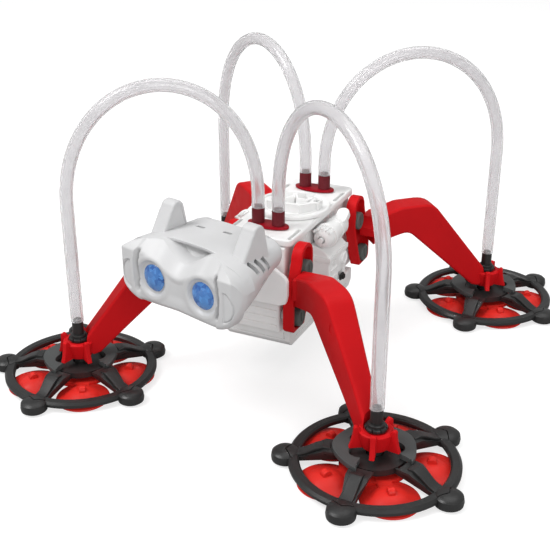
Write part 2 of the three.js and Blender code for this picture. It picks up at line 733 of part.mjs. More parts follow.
function headShellGeometry() {
  const pocketDepth = 8;
  const mouth = acrossY(slab(faceShape(), pocketDepth + 1, 5));
  mouth.translate(0, 0, -70).scale(1.03, 1, 1.04).translate(0, shell.front + pocketDepth, 70);
  const tongueParts = [
    box(-6, 6, shell.rear - 6, head.pivotY, 66.8, 69.3),
    box(-6, 6, shell.rear - 6, shell.rear + 2, 66.8, 74),
    rod(6, 66.8, 69.3).translate(0, head.pivotY, 0),
  ];
  const bore = rod(clearance(2.5) + 0.1, 60, 70).translate(0, head.pivotY, 0);
  return cut(join(shellBlockGeometry(), ...tongueParts), mouth, bore);
}

function headFaceGeometry() {
  const depth = head.faceY - (shell.front + 7.4);
  const mask = acrossY(slab(faceShape(), -depth, 5)).translate(0, shell.front + 7.4, 0);
  const sockets = [1, -1].map((side) => {
    const well = rod(6.6, -6, 4.2).rotateX(-Math.PI / 2);
    return well.translate(side * head.eyeX, head.faceY, head.eyeZ);
  });
  return cut(mask, ...sockets);
}

function lensGeometry() {
  const dome = turned([[0, 0], [6.1, 0], [6.1, 2.4], [4.6, 3.6], [0, 4.5]], 16);
  return dome.rotateX(Math.PI / 2);
}

function earGeometry() {
  const shape = new THREE.Shape();
  shape.moveTo(-79.5, 78.5);
  shape.lineTo(-70.6, 91.4);
  shape.quadraticCurveTo(-67.8, 95.2, -65.2, 91.2);
  shape.lineTo(-60.5, 77);
  return acrossX(slab(shape, 7, 4)).translate(-3.5, 0, 0);
}

function addHead(parent) {
  const pivot = new THREE.Group();
  pivot.position.y = head.pivotY;
  pivot.rotation.z = head.turn;
  const frame = new THREE.Group();
  frame.position.y = -head.pivotY;
  pivot.add(frame);
  parent.add(pivot);
  addMesh(frame, 'head_shell', headShellGeometry(), materials.paleGrey);
  addMesh(frame, 'head_face', headFaceGeometry(), materials.paleGrey);
  for (const [name, side] of [['left', 1], ['right', -1]]) {
    const ear = cut(earGeometry().translate(side * 21.6, 0, 0), shellBlockGeometry().translate(0, 0, gap));
    addMesh(frame, `ear_${name}`, ear, materials.paleGrey);
    const lens = addMesh(frame, `lens_${name}`, lensGeometry(), materials.lens);
    lens.position.set(side * head.eyeX, head.faceY + 3.6, head.eyeZ);
  }
}

function neckGeometry() {
  const { halfWidth, front, rear, low, high } = neck;
  const face = new THREE.Shape();
  face.moveTo(-halfWidth + 4, low);
  face.lineTo(halfWidth - 4, low);
  face.quadraticCurveTo(halfWidth, low, halfWidth, low + 5);
  face.lineTo(halfWidth, high - 6);
  face.quadraticCurveTo(halfWidth, high, halfWidth - 7, high);
  face.lineTo(7 - halfWidth, high);
  face.quadraticCurveTo(-halfWidth, high, -halfWidth, high - 6);
  face.lineTo(-halfWidth, low + 5);
  face.quadraticCurveTo(-halfWidth, low, -halfWidth + 4, low);
  const board = acrossY(slab(face, 2.4, 2)).translate(0, front + 2.4, 0);
  const block = box(-9, 9, front + 1, rear, 53, high);
  const pin = rod(2.5, high - 1, 69.3).translate(0, head.pivotY, 0);
  return join(board, block, pin);
}

// ---------------------------------------------------------------- assembly

// One knob of every foot points forwards, so the footprint reaches a little further to the front.
const knobOverhang = foot.knobCircle + foot.knobRadius - footRing.outer;

const chassis = new THREE.Group();
chassis.position.set(0, knobOverhang / 2, -datumDepth);
addBody(chassis);
addWalkingGear(chassis);
addCorners(chassis);
addMesh(chassis, 'neck', neckGeometry(), materials.white);
addHead(chassis);

const robot = new THREE.Group();
robot.add(chassis);

export default robot;
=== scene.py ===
"""A four-legged walking robot kit with suction-cup feet: the looks, built round its CAD frame.

Shapes are made in millimetres and turned into metres when they become pieces. The robot faces
-Y, and its own left side is +X.
"""

import json
import math

import bmesh
import bpy
from mathutils import Matrix, Vector

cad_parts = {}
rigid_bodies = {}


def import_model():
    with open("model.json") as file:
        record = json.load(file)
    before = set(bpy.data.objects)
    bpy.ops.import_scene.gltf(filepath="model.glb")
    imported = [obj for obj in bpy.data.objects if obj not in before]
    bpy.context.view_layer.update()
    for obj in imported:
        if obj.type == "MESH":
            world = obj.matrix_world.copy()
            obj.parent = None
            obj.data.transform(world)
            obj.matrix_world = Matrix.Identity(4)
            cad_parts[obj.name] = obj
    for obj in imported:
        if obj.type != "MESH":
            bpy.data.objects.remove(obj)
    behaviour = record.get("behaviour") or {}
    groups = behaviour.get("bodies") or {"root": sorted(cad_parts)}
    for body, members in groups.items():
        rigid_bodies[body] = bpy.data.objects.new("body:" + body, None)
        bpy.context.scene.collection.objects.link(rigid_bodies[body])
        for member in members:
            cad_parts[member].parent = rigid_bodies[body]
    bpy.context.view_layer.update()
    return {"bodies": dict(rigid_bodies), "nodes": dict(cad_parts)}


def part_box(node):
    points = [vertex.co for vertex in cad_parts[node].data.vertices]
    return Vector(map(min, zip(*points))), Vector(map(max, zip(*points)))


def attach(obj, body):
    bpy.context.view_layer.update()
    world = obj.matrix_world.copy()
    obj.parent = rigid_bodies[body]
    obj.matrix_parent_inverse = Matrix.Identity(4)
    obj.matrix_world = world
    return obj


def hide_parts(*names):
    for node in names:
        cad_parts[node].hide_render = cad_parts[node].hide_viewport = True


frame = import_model()

MM = 0.001
TURN = 2 * math.pi


# ---------------------------------------------------------------- places from the frame


# Shapes are drawn upwards from a datum this far under the floor.
DATUM = Vector((0, 0, 5))


def middle(node):
    """The middle of a CAD node, in millimetres from the datum."""
    low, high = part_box(node)
    return (low + high) / 2 / MM + DATUM


def span(node):
    """The lowest and highest corner of a CAD node, in millimetres from the datum."""
    low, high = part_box(node)
    return low / MM + DATUM, high / MM + DATUM


BODY_Y = middle("top_cover").y
PIVOT_Y = -40
TO_BODY = Matrix.Translation((0, BODY_Y, 0))
CORNERS = {
    "front_left": (1, -1),
    "front_right": (-1, -1),
    "rear_left": (1, 1),
    "rear_right": (-1, 1),
}


# ---------------------------------------------------------------- outlines


def arc(x, y, radius, start, end, steps):
    """Points on an arc, with its angles in degrees."""
    points = []
    for i in range(steps + 1):
        angle = math.radians(start + (end - start) * i / steps)
        points.append((x + radius * math.cos(angle), y + radius * math.sin(angle)))
    return points


def ring_points(radius, count, x=0, y=0):
    return arc(x, y, radius, 0, 360 - 360 / count, count - 1)


def bezier(a, b, c, d, steps):
    """Points on a cubic curve, without the last one."""
    points = []
    for i in range(steps):
        t = i / steps
        u = 1 - t
        weights = (u * u * u, 3 * u * u * t, 3 * u * t * t, t * t * t)
        points.append(tuple(sum(w * p[k] for w, p in zip(weights, (a, b, c, d))) for k in (0, 1)))
    return points


def rounded_rectangle(half_x, half_y, radius, steps=6):
    points = []
    for x, y, start in ((1, 1, 0), (-1, 1, 90), (-1, -1, 180), (1, -1, 270)):
        points += arc(x * (half_x - radius), y * (half_y - radius), radius, start, start + 90, steps)
    return points


def smooth(value):
    """A soft step from 0 to 1."""
    t = min(1.0, max(0.0, value))
    return t * t * (3 - 2 * t)


def resample(points, count):
    """The same open line with evenly spaced points."""
    lengths = [math.dist(a, b) for a, b in zip(points, points[1:])]
    total = sum(lengths)
    result = []
    for i in range(count + 1):
        left = total * i / count
        index = 0
        while index < len(lengths) - 1 and left > lengths[index]:
            left -= lengths[index]
            index += 1
        share = min(1.0, left / lengths[index])
        a, b = points[index], points[index + 1]
        result.append(tuple(p + (q - p) * share for p, q in zip(a, b)))
    return result


# ---------------------------------------------------------------- solids


ALONG_X = Matrix(((0, 0, 1, 0), (1, 0, 0, 0), (0, 1, 0, 0), (0, 0, 0, 1)))
ALONG_Y = Matrix(((1, 0, 0, 0), (0, 0, -1, 0), (0, 1, 0, 0), (0, 0, 0, 1)))


def solid(vertices, faces):
    """A closed shape as an object that is still to be finished."""
    mesh = bpy.data.meshes.new("shape")
    mesh.from_pydata([tuple(v) for v in vertices], [], faces)
    work = bmesh.new()
    work.from_mesh(mesh)
    bmesh.ops.remove_doubles(work, verts=work.verts, dist=1e-5)
    bmesh.ops.recalc_face_normals(work, faces=work.faces)
    work.to_mesh(mesh)
    work.free()
    thing = bpy.data.objects.new("shape", mesh)
    bpy.context.scene.collection.objects.link(thing)
    return thing


def prism(points, low, high):
    """An outline in x and y, drawn out along Z."""
    count = len(points)
    vertices = [(x, y, low) for x, y in points] + [(x, y, high) for x, y in points]
    faces = [list(range(count))[::-1], list(range(count, 2 * count))]
    for i in range(count):
        j = (i + 1) % count
        faces.append([i, j, count + j, count + i])
    return solid(vertices, faces)


def box(x0, x1, y0, y1, z0, z1):
    return prism([(x0, y0), (x1, y0), (x1, y1), (x0, y1)], z0, z1)


def lathe(profile, sides=40):
    """A profile of (radius, height) points turned about Z. It ends on the axis or closes on itself."""
    open_profile = profile[0][0] == 0
    vertices, rings = [], []
    for radius, height in profile:
        count = 1 if radius == 0 else sides
        rings.append([len(vertices) + i for i in range(count)])
        vertices += [(radius * math.cos(TURN * i / sides), radius * math.sin(TURN * i / sides), height)
                     for i in range(count)]
    faces = []
    pairs = list(zip(rings, rings[1:]))
    if not open_profile:
        pairs.append((rings[-1], rings[0]))
    for a, b in pairs:
        for i in range(sides):
            j = (i + 1) % sides
            corner = [a[i % len(a)], a[j % len(a)], b[j % len(b)], b[i % len(b)]]
            face = list(dict.fromkeys(corner))
            if len(face) > 2:
                faces.append(face)
    return solid(vertices, faces)


def rod(radius, low, high, sides):
    """A plain round rod up the Z axis."""
    return lathe([(0, low), (radius, low), (radius, high), (0, high)], sides)


def loft(rings):
    """A skin over rings of equal count, closed at both ends."""
    count = len(rings[0])
    vertices = [point for ring in rings for point in ring]
    faces = [list(range(count)), list(range(len(vertices) - count, len(vertices)))[::-1]]
    for k in range(len(rings) - 1):
        for i in range(count):
            j = (i + 1) % count
            faces.append([k * count + i, k * count + j, (k + 1) * count + j, (k + 1) * count + i])
    return solid(vertices, faces)


def moved(thing, matrix):
    thing.data.transform(matrix)
    if matrix.determinant() < 0:
        thing.data.flip_normals()
    return thing


def shifted(thing, x=0, y=0, z=0):
    return moved(thing, Matrix.Translation((x, y, z)))


def turned(thing, degrees, axis="Z"):
    return moved(thing, Matrix.Rotation(math.radians(degrees), 4, axis))


def laid_along_x(thing, x=0, y=0, z=0):
    """Lays a shape that was drawn up the Z axis along X, and shifts it."""
    return moved(thing, Matrix.Translation((x, y, z)) @ ALONG_X)


def mirrored(thing):
    """Turns a left-hand shape into a right-hand one."""
    return moved(thing, Matrix.Diagonal((-1, 1, 1, 1)))


def softened(thing, width, segments=2, angle=28):
    """Rounds the edges that are sharper than the angle."""
    work = bmesh.new()
    work.from_mesh(thing.data)
    edges = [e for e in work.edges if e.is_manifold and e.calc_face_angle(0) > math.radians(angle)]
    bmesh.ops.bevel(work, geom=edges, offset=width, segments=segments, profile=0.5,
                    affect="EDGES", clamp_overlap=True)
    work.to_mesh(thing.data)
    work.free()
    return thing


def remove(thing):
    mesh = thing.data
    bpy.data.objects.remove(thing)
    bpy.data.meshes.remove(mesh)


def combined(thing, operation, tools):
    for tool in tools:
        step = thing.modifiers.new("combine", "BOOLEAN")
        step.operation = operation
        step.solver = "EXACT"
        step.object = tool
    bpy.context.view_layer.update()
    graph = bpy.context.evaluated_depsgraph_get()
    result = bpy.data.meshes.new_from_object(thing.evaluated_get(graph))
    thing.modifiers.clear()
    thing.data = result
    for tool in tools:
        remove(tool)
    return thing


def joined(thing, *others):
    return combined(thing, "UNION", others)


def carved(thing, *tools):
    return combined(thing, "DIFFERENCE", tools)


def finished(thing, material, sharp_angle=34):
    """Turns a shape into a finished mesh in metres, smooth except at its sharp edges."""
    mesh = thing.data.copy()
    remove(thing)
    mesh.transform(Matrix.Scale(MM, 4))
    mesh.shade_smooth()
    mesh.set_sharp_from_angle(angle=math.radians(sharp_angle))
    mesh.materials.clear()
    mesh.materials.append(material)
    return mesh


def piece(name, mesh, body, stands_for, place=Matrix.Identity(4)):
    """Puts a finished mesh into the robot. The place is in millimetres from the datum."""
    thing = bpy.data.objects.new(name, mesh)
    bpy.context.scene.collection.objects.link(thing)
    where, turn, _ = place.decompose()
    thing.matrix_world = Matrix.Translation((where - DATUM) * MM) @ turn.to_matrix().to_4x4()
    weighted = thing.modifiers.new("weighted", "WEIGHTED_NORMAL")
    weighted.keep_sharp = True
    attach(thing, body)
    if stands_for:
        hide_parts(*stands_for)
    return thing


# ---------------------------------------------------------------- materials


def node_material(name):
    material = bpy.data.materials.new(name)
    material.use_nodes = True
    tree = material.node_tree
    return material, tree, tree.nodes["Principled BSDF"]


def noise(tree, coordinates, scale, detail=2.0):
    texture = tree.nodes.new("ShaderNodeTexNoise")
    texture.inputs["Scale"].default_value = scale
    texture.inputs["Detail"].default_value = detail
    tree.links.new(coordinates, texture.inputs["Vector"])
    return texture.outputs["Fac"]


def ramp(tree, source, low, high, from_low=0.3, from_high=0.7):
    """Maps a grey value between two numbers."""
    node = tree.nodes.new("ShaderNodeMapRange")
    node.inputs["From Min"].default_value = from_low
    node.inputs["From Max"].default_value = from_high
    node.inputs["To Min"].default_value = low
    node.inputs["To Max"].default_value = high
    tree.links.new(source, node.inputs["Value"])
    return node.outputs["Result"]


def mix_colours(tree, share, first, second):
    node = tree.nodes.new("ShaderNodeMix")
    node.data_type = "RGBA"
    tree.links.new(share, node.inputs["Factor"])
    for socket, colour in ((node.inputs["A"], first), (node.inputs["B"], second)):
        if isinstance(colour, tuple):
            socket.default_value = (*colour, 1)
        else:
            tree.links.new(colour, socket)
    return node.outputs["Result"]


def tinted(colour, factor):
    return tuple(min(1.0, channel * factor) for channel in colour)


def plastic(name, colour, roughness, grain=0.12, edge_highlight=1.2, soft=0.0, gloss=0.3):
    """Moulded plastic: slow colour drift, a fine mould grain, uneven gloss and a painted highlight on its
    sharp edges.
    """
    grain_size = 0.5 * MM
    variation = 0.05
    material, tree, surface = node_material(name)
    links = tree.links
    coordinates = tree.nodes.new("ShaderNodeTexCoord").outputs["Object"]
    drift = noise(tree, coordinates, 45, 3)
    darker, lighter = tinted(colour, 1 - variation), tinted(colour, 1 + variation)
    body = mix_colours(tree, ramp(tree, drift, 0, 1), darker, lighter)
    pointiness = tree.nodes.new("ShaderNodeNewGeometry").outputs["Pointiness"]
    # painted highlight: sharp convex edges, found by pointiness, are mixed towards a lighter colour of the
    # same plastic
    edges = ramp(tree, pointiness, 0, 0.55, 0.53, 0.62)
    links.new(mix_colours(tree, edges, body, tinted(colour, edge_highlight)), surface.inputs["Base Color"])
    smudges = noise(tree, coordinates, 160, 4)
    links.new(ramp(tree, smudges, roughness - 0.05, roughness + 0.07), surface.inputs["Roughness"])
    bump = tree.nodes.new("ShaderNodeBump")
    bump.inputs["Strength"].default_value = grain
    bump.inputs["Distance"].default_value = 0.05 * MM
    links.new(noise(tree, coordinates, 1 / grain_size, 2), bump.inputs["Height"])
    links.new(bump.outputs["Normal"], surface.inputs["Normal"])
    surface.inputs["Specular IOR Level"].default_value = gloss
    if soft:
        surface.inputs["Subsurface Weight"].default_value = soft
        surface.inputs["Subsurface Radius"].default_value = (2 * MM, 0.6 * MM, 0.5 * MM)
    return material


def metal(name, colour, roughness, brush_scale):
    """Turned metal with fine lines round it."""
    material, tree, surface = node_material(name)
    coordinates = tree.nodes.new("ShaderNodeTexCoord").outputs["Object"]
    stretch = tree.nodes.new("ShaderNodeMapping")
    stretch.inputs["Scale"].default_value = (8, 1, 1)
    tree.links.new(coordinates, stretch.inputs["Vector"])
    lines = noise(tree, stretch.outputs["Vector"], brush_scale, 3)
    shade = mix_colours(tree, ramp(tree, lines, 0, 1), tinted(colour, 0.85), tinted(colour, 1.1))
    tree.links.new(shade, surface.inputs["Base Color"])
    tree.links.new(ramp(tree, lines, roughness - 0.08, roughness + 0.1), surface.inputs["Roughness"])
    surface.inputs["Metallic"].default_value = 1.0
    return material


def clear_vinyl(name):
    """Soft milky tubing: clear with a slight haze and faint drawing lines."""
    material, tree, surface = node_material(name)
    coordinates = tree.nodes.new("ShaderNodeTexCoord").outputs["Object"]
    haze = noise(tree, coordinates, 220, 3)
    shade = mix_colours(tree, ramp(tree, haze, 0, 1), (0.88, 0.87, 0.88), (0.92, 0.91, 0.92))
    tree.links.new(shade, surface.inputs["Base Color"])
    tree.links.new(ramp(tree, haze, 0.12, 0.18), surface.inputs["Roughness"])
    surface.inputs["Transmission Weight"].default_value = 0.8
    surface.inputs["IOR"].default_value = 1.36
    return material


def blue_lens(name):
    """Blue moulded glass with lighter and darker cells."""
    material, tree, surface = node_material(name)
    coordinates = tree.nodes.new("ShaderNodeTexCoord").outputs["Object"]
    cells = tree.nodes.new("ShaderNodeTexVoronoi")
    cells.inputs["Scale"].default_value = 560
    tree.links.new(coordinates, cells.inputs["Vector"])
    grey = tree.nodes.new("ShaderNodeRGBToBW")
    tree.links.new(cells.outputs["Color"], grey.inputs["Color"])
    share = ramp(tree, grey.outputs["Val"], 0, 1, 0.1, 0.9)
    shade = mix_colours(tree, share, (0.02, 0.1, 0.36), (0.09, 0.29, 0.66))
    tree.links.new(shade, surface.inputs["Base Color"])
    tree.links.new(ramp(tree, noise(tree, coordinates, 500), 0.12, 0.28), surface.inputs["Roughness"])
    surface.inputs["Coat Weight"].default_value = 0.6
    surface.inputs["Coat Roughness"].default_value = 0.08
    return material


# The edge factor given to each plastic sets how much lighter its painted edge highlight is.
WHITE = plastic("white_plastic", (0.86, 0.86, 0.855), 0.42, edge_highlight=1.05)
PALE = plastic("pale_plastic", (0.58, 0.58, 0.585), 0.4, edge_highlight=1.06)
RED = plastic("red_plastic", (0.56, 0.008, 0.011), 0.48, gloss=0.08)
DARK_RED = plastic("dark_red_plastic", (0.13, 0.014, 0.02), 0.45, gloss=0.15)
OVAL_RED = plastic("oval_red_plastic", (0.3, 0.002, 0.01), 0.4, gloss=0.15)
BLACK = plastic("black_plastic", (0.017, 0.017, 0.017), 0.36, grain=0.2, edge_highlight=1.7, gloss=0.4)
GREY = plastic("grey_plastic", (0.065, 0.07, 0.07), 0.45, grain=0.2, edge_highlight=1.3, gloss=0.25)
PIN_GREY = plastic("pin_plastic", (0.1, 0.115, 0.108), 0.45, grain=0.2, edge_highlight=1.3, gloss=0.25)
RUBBER = plastic("cup_rubber", (0.66, 0.022, 0.016), 0.4, grain=0.08, soft=0.08, gloss=0.2)
VINYL = clear_vinyl("clear_tube")
LENS = blue_lens("blue_lens")
BRASS = metal("brass", (0.62, 0.42, 0.13), 0.32, 300)
STEEL = metal("steel", (0.5, 0.51, 0.53), 0.34, 300)


# ---------------------------------------------------------------- CAD nodes that stay


def finish_frame_nodes():
    """Gives the mechanism inside the body its materials."""
    finishes = {
        "crankshaft": PALE,
        "idler": BRASS,
        "motor_shaft": BRASS,
        "motor": STEEL,
        "pump_piston": WHITE,
    }
    for name, node in frame["nodes"].items():
        for start in sorted(finishes, key=len, reverse=True):
            if name.startswith(start):
                node.data.materials.clear()
                node.data.materials.append(finishes[start])
                break


# ---------------------------------------------------------------- feet


KNOBS = 5
KNOB_STEP = 360 / KNOBS
FIRST_KNOB = -90
KNOB_CIRCLE = 35
KNOB_RADIUS = 5.8
RING = {"inner": 29.5, "outer": 34.0, "low": 7.0, "high": 9.7}
CUP_CIRCLE = 21.7
PLATE_RADIUS = 16.4


def knob():
    """A round boss on the ring with a domed top and two slanting slits."""
    side = [(0, 5.4), (4.8, 5.4), (5.6, 6.0), (KNOB_RADIUS, 7.4), (5.5, 9.3), (4.5, 10.2),
            (2.4, 10.6), (0, 10.7)]
    slits = []
    for hand in (-1, 1):
        slit = box(-0.22, 0.22, 0, 9, 9.5, 12)
        slits.append(turned(slit, 90 + hand * 62))
    return carved(lathe(side, 36), *slits)


def tongue():
    """The rounded strip that folds down from the hub to the ring on top of each spoke."""
    side = [(17.2, 13.9), (20.2, 14.4), (23.4, 13.2), (27.4, 10.9), (30, 10.0), (31.8, 9.8),
            (31.8, 8.9), (29, 9.1), (26, 10.4), (22.6, 12.2), (20, 12.9), (17.2, 12.6)]
    strip = moved(prism(side, -2.5, 2.5), ALONG_Y)
    plan = shifted(prism(rounded_rectangle(8, 2.5, 2.4, 8), 4, 20), 23.7)
    return combined(softened(strip, 0.45), "INTERSECT", [plan])


def apron():
    """The thin plate under the tongue, broad at the hub and tapering outwards."""
    side = [(14.5, 13.3), (19.6, 13.5), (22.6, 12.0), (28, 9.6), (28, 8.7), (22.4, 10.9),
            (19.2, 12.3), (14.5, 12.2)]
    plan = [(14.5, -4.8), (20.8, -4.4), (28, -2.7), (28, 2.7), (20.8, 4.4), (14.5, 4.8)]
    return combined(moved(prism(side, -6, 6), ALONG_Y), "INTERSECT", [prism(plan, 4, 20)])


def spoke():
    """Two thin rails from hub to knob under the apron and its tongue."""
    rail_side = [(11, 9.8), (31.5, 7.2), (31.5, 9.0), (20, 11.0), (11, 12)]
    rails = []
    for hand in (-1, 1):
        middle_line = hand * 2.6
        rails.append(moved(prism(rail_side, middle_line - 0.6, middle_line + 0.6), ALONG_Y))
    bridge = softened(box(28.2, 30.6, -3.1, 3.1, 7.4, 9.0), 0.3)
    return joined(tongue(), apron(), bridge, *rails)


def foot_frame():
    """The black ring with its knobs, spokes and hub."""
    inner, outer, low, high = RING["inner"], RING["outer"], RING["low"], RING["high"]
    band = [(inner, low + 0.5), (inner + 0.5, low), (outer - 0.5, low), (outer, low + 0.6),
            (outer, high - 1.0), (outer - 1.0, high), (inner + 0.7, high), (inner, high - 0.7)]
    whole = joined(lathe(band, 120), lathe([(3.6, 9.6), (12.6, 9.6), (12.6, 12.2), (3.6, 12.2)], 48))
    parts = []
    for i in range(KNOBS):
        angle = FIRST_KNOB + KNOB_STEP * i
        parts.append(turned(shifted(knob(), KNOB_CIRCLE), angle))
        parts.append(turned(spoke(), angle))
    return joined(whole, *parts)


def foot_plate():
    """The grey hub plate: a flat collar round a star-shaped well, open towards one cup."""
    count = 180
    opening = math.radians(FIRST_KNOB + KNOB_STEP / 2)
    outer, inner = [], []
    for i in range(count):
        angle = TURN * i / count
        lobe = math.cos(KNOBS * (angle - math.radians(FIRST_KNOB)))
        reach = PLATE_RADIUS + 0.4 * lobe
        outer.append((reach * math.cos(angle), reach * math.sin(angle)))
        away = abs((angle - opening + math.pi) % TURN - math.pi)
        star = 10.4 - 1.2 * lobe
        well = star + (PLATE_RADIUS - 1.3 - star) * (1 - smooth((math.degrees(away) - 44) / 7))
        inner.append((well * math.cos(angle), well * math.sin(angle)))
    disc = softened(prism(outer, 12.5, 14.8), 0.4, 2)
    gap = turned(box(11, 20, -11, 11, 12, 20), math.degrees(opening))
    return carved(disc, prism(inner, 10, 20), gap)


def suction_cups():
    """Five flat cups in one soft moulding, each with a rounded nub at its crown."""
    dome = [(0, 7.2), (4.6, 6.7), (7.4, 5.8), (10.8, 5.06), (11.5, 5.0), (11.75, 5.3), (11.5, 5.9),
            (9.8, 6.4), (8.2, 6.7), (6.8, 7.5), (5.0, 8.5), (2.8, 9.1), (0, 9.3)]
    nub_side = arc(0.6, 9.4, 1.9, -30, 180, 14) + [(-2.6, 8.2), (2.4, 7.6)]
    cups = []
    for i in range(KNOBS):
        nub = softened(moved(prism(nub_side, -1.4, 1.4), ALONG_Y), 0.6, 3)
        bridge = softened(box(-12, -4, -3.2, 3.2, 5.8, 7.6), 0.6)
        cup = joined(lathe(dome, 48), nub, bridge)
        cups.append(turned(shifted(cup, CUP_CIRCLE), FIRST_KNOB + KNOB_STEP * (i + 0.5)))
    web = lathe([(3.5, 6.0), (14, 6.0), (14, 7.4), (3.5, 7.4)], 48)
    return joined(web, *cups)


BARB = {"radius": 2.55, "shoulder": 31.9, "top": 33.0}


def nozzle():
    """The hollow nozzle: a stepped, notched collar with the barb that holds the tube."""
    radius, shoulder, top, bore = BARB["radius"], BARB["shoulder"], BARB["top"], 1.3
    stem = [(bore, 8.6), (3.0, 8.6), (3.0, 22.9)]
    collar = [(4.2, 22.9), (4.5, 23.2), (4.5, 24.1), (4.2, 24.5), (3.5, 24.6), (3.5, 25.4), (3.2, 25.8)]
    barb = [(radius, 25.9), (radius, shoulder), (1.9, shoulder + 0.1), (1.8, top), (bore, top)]
    body = lathe(stem + collar + barb, 48)
    notches = [turned(box(3.9, 6, -0.3, 0.3, 22, 24.9), 45 * i) for i in range(8)]
    return carved(body, *notches)


def build_feet():
    frame_mesh = finished(foot_frame(), BLACK)
    plate_mesh = finished(foot_plate(), GREY)
    cups_mesh = finished(suction_cups(), RUBBER, 40)
    nozzle_mesh = finished(nozzle(), BLACK)
    for corner in CORNERS:
        at = middle(f"nozzle_{corner}")
        place = Matrix.Translation((at.x, at.y, 0))
        body = f"foot_{corner}"
        parts = (
            ("foot_frame", frame_mesh, "black_plastic", "ring_frame"),
            ("foot_plate", plate_mesh, "grey_plastic", "hub_plate"),
            ("suction_cups", cups_mesh, "cup_rubber", "cups"),
            ("nozzle", nozzle_mesh, "black_plastic", "air_nozzle"),
        )
        for node, mesh, slot, name in parts:
            piece(f"{name}_{corner}", mesh, body, [f"{node}_{corner}"], place)


# ---------------------------------------------------------------- legs


PIN_Y = 25.3
LOWER_PIN_Y = 33.0
PIN_Z = middle("pin_front_left_upper").z
LOWER_PIN_Z = middle("pin_front_left_lower").z
PIN_TO_ANKLE = middle("pin_front_left_upper").y - middle("nozzle_front_left").y
ANKLE = Vector((middle("nozzle_front_left").x, PIN_Y + PIN_TO_ANKLE))
ARM_ROOT = Vector((21, 30.5))
BRACKET = {"inner": 16.4, "web": 18.3, "outer": 21.3, "rim": 1.6}


def bracket_outline(inset):
    """Side view of the upright bracket: a round head over the pins, narrow at the waist."""
    crown = arc(25.9, 64.7, 6.6 - inset, 0, 180, 20)
    low = 34.4 + inset
    return [(28 + inset, low), (39 - inset, low), (40.5 - inset, 36 + inset), (40.5 - inset, 49),
            (35 - inset, 58), *crown, (19.4 + inset, 56), (25 + inset, 41)]


def bracket():
    depth = BRACKET["outer"] - BRACKET["inner"]
    block = softened(prism(bracket_outline(0), 0, depth), 0.5)
    pocket = prism(bracket_outline(BRACKET["rim"]), BRACKET["web"] - BRACKET["inner"], depth + 2)
    shell = carved(block, pocket)
    return laid_along_x(shell, BRACKET["inner"])


def beam_section(top, bottom, half_width):
    """A rounded section of the limb, as (along, across, up) points."""
    direction = Vector((top[0] - bottom[0], top[1] - bottom[1]))
    length = direction.length
    corners = rounded_rectangle(half_width, length / 2, 1.3, 4)
    centre = (Vector(top) + Vector(bottom)) / 2
    up = direction.normalized()
    return [(centre.x + up.x * v, u, centre.y + up.y * v) for u, v in corners]


def limb():
    """Arm, knee and shin as one angular beam in the upright plane from bracket to ankle."""
    top = [(4, 59.8), (18, 64.2), (29, 64.4)]
    top += bezier((29, 64.4), (34, 64.4), (36.4, 62.4), (38, 60.4), 6)
    top += [(38, 60.4), (66.2, 25.2), (67.2, 20)]
    bottom = [(4, 46.4), (19, 50.4)]
    bottom += bezier((19, 50.4), (22.5, 51.2), (24.6, 49.2), (26, 47.8), 6)
    bottom += [(26, 47.8), (60, 16.6), (63, 15.8)]
    steps = 44
    rings = []
    for a, b in zip(resample(top, steps), resample(bottom, steps)):
        share = smooth(((a[0] + b[0]) / 2 - 22) / 42)
        rings.append(beam_section(a, b, 6.3 - 2.1 * share))
    return loft(rings)


def limb_pockets():
    """Ribbed hollows along the underside of the shin."""
    start, end = Vector((27, 46.6)), Vector((58, 18.2))
    direction = (end - start).normalized()
    angle = math.degrees(math.atan2(direction.y, direction.x))
    pockets = []
    count = 7
    pitch = (end - start).length / count
    for i in range(count):
        at = start + direction * pitch * (i + 0.5)
        half = 4.7 - 0.28 * i
        pocket = box(-pitch / 2 + 0.6, pitch / 2 - 0.6, -half, half, -1.5, 3.2)
        pockets.append(shifted(turned(pocket, -angle, "Y"), at.x, 0, at.y))
    return pockets


def limb_marks():
    """The small triangular marks on both faces below the knee."""
    triangle = [(38.6, 54.6), (41.4, 50.4), (38.2, 51.2)]
    return [moved(prism(triangle, side - 0.7, side + 0.7), ALONG_Y) for side in (-6.2, 6.2)]


def ankle_collar(beam_angle):
    """The cup that turns on the foot's stem, with four fins round it."""
    cup = lathe([(0, 14.9), (4.9, 14.9), (5.6, 15.6), (6.9, 21.2), (7.0, 22.4), (6.4, 22.9), (0, 22.9)], 44)
    fin_side = [(4.6, 15.1), (10.6, 14.9), (9.7, 17.6), (8.9, 21.4), (8.8, 23.9), (8.3, 24.5),
                (7.4, 24.5), (6.6, 23.7), (5, 21.4)]
    fins = []
    for i in range(1, 5):
        fin = softened(moved(prism(fin_side, -1.1, 1.1), ALONG_Y), 0.35)
        fins.append(turned(fin, beam_angle + 72 * i))
    return joined(cup, *fins)


def leg():
    """One leg in a frame of its own: x out from the body's middle, y along it towards the foot."""
    direction = (ANKLE - ARM_ROOT).normalized()
    beam_angle = math.degrees(math.atan2(direction.y, direction.x))
    beam = carved(limb(), *limb_pockets(), *limb_marks())
    beam = shifted(turned(beam, beam_angle), ARM_ROOT.x, ARM_ROOT.y)
    arm = softened(box(20.5, 33, 27.6, 40.6, 50.4, 60.2), 1.0)
    collar = shifted(ankle_collar(beam_angle + 180), ANKLE.x, ANKLE.y)
    whole = joined(bracket(), arm, beam, collar)
    flare = lathe([(0, 22.4), (5.0, 22.4), (5.6, 40), (0, 40)], 32)
    bores = [shifted(rod(3.35, 10, 40, 32), ANKLE.x, ANKLE.y), shifted(flare, ANKLE.x, ANKLE.y)]
    for y, z in ((PIN_Y, PIN_Z), (LOWER_PIN_Y, LOWER_PIN_Z)):
        bores.append(laid_along_x(rod(2.5, 10, 30, 24), 0, y, z))
        bores.append(laid_along_x(rod(4.9, BRACKET["web"], 34, 32), 0, y, z))
    return carved(whole, *bores)


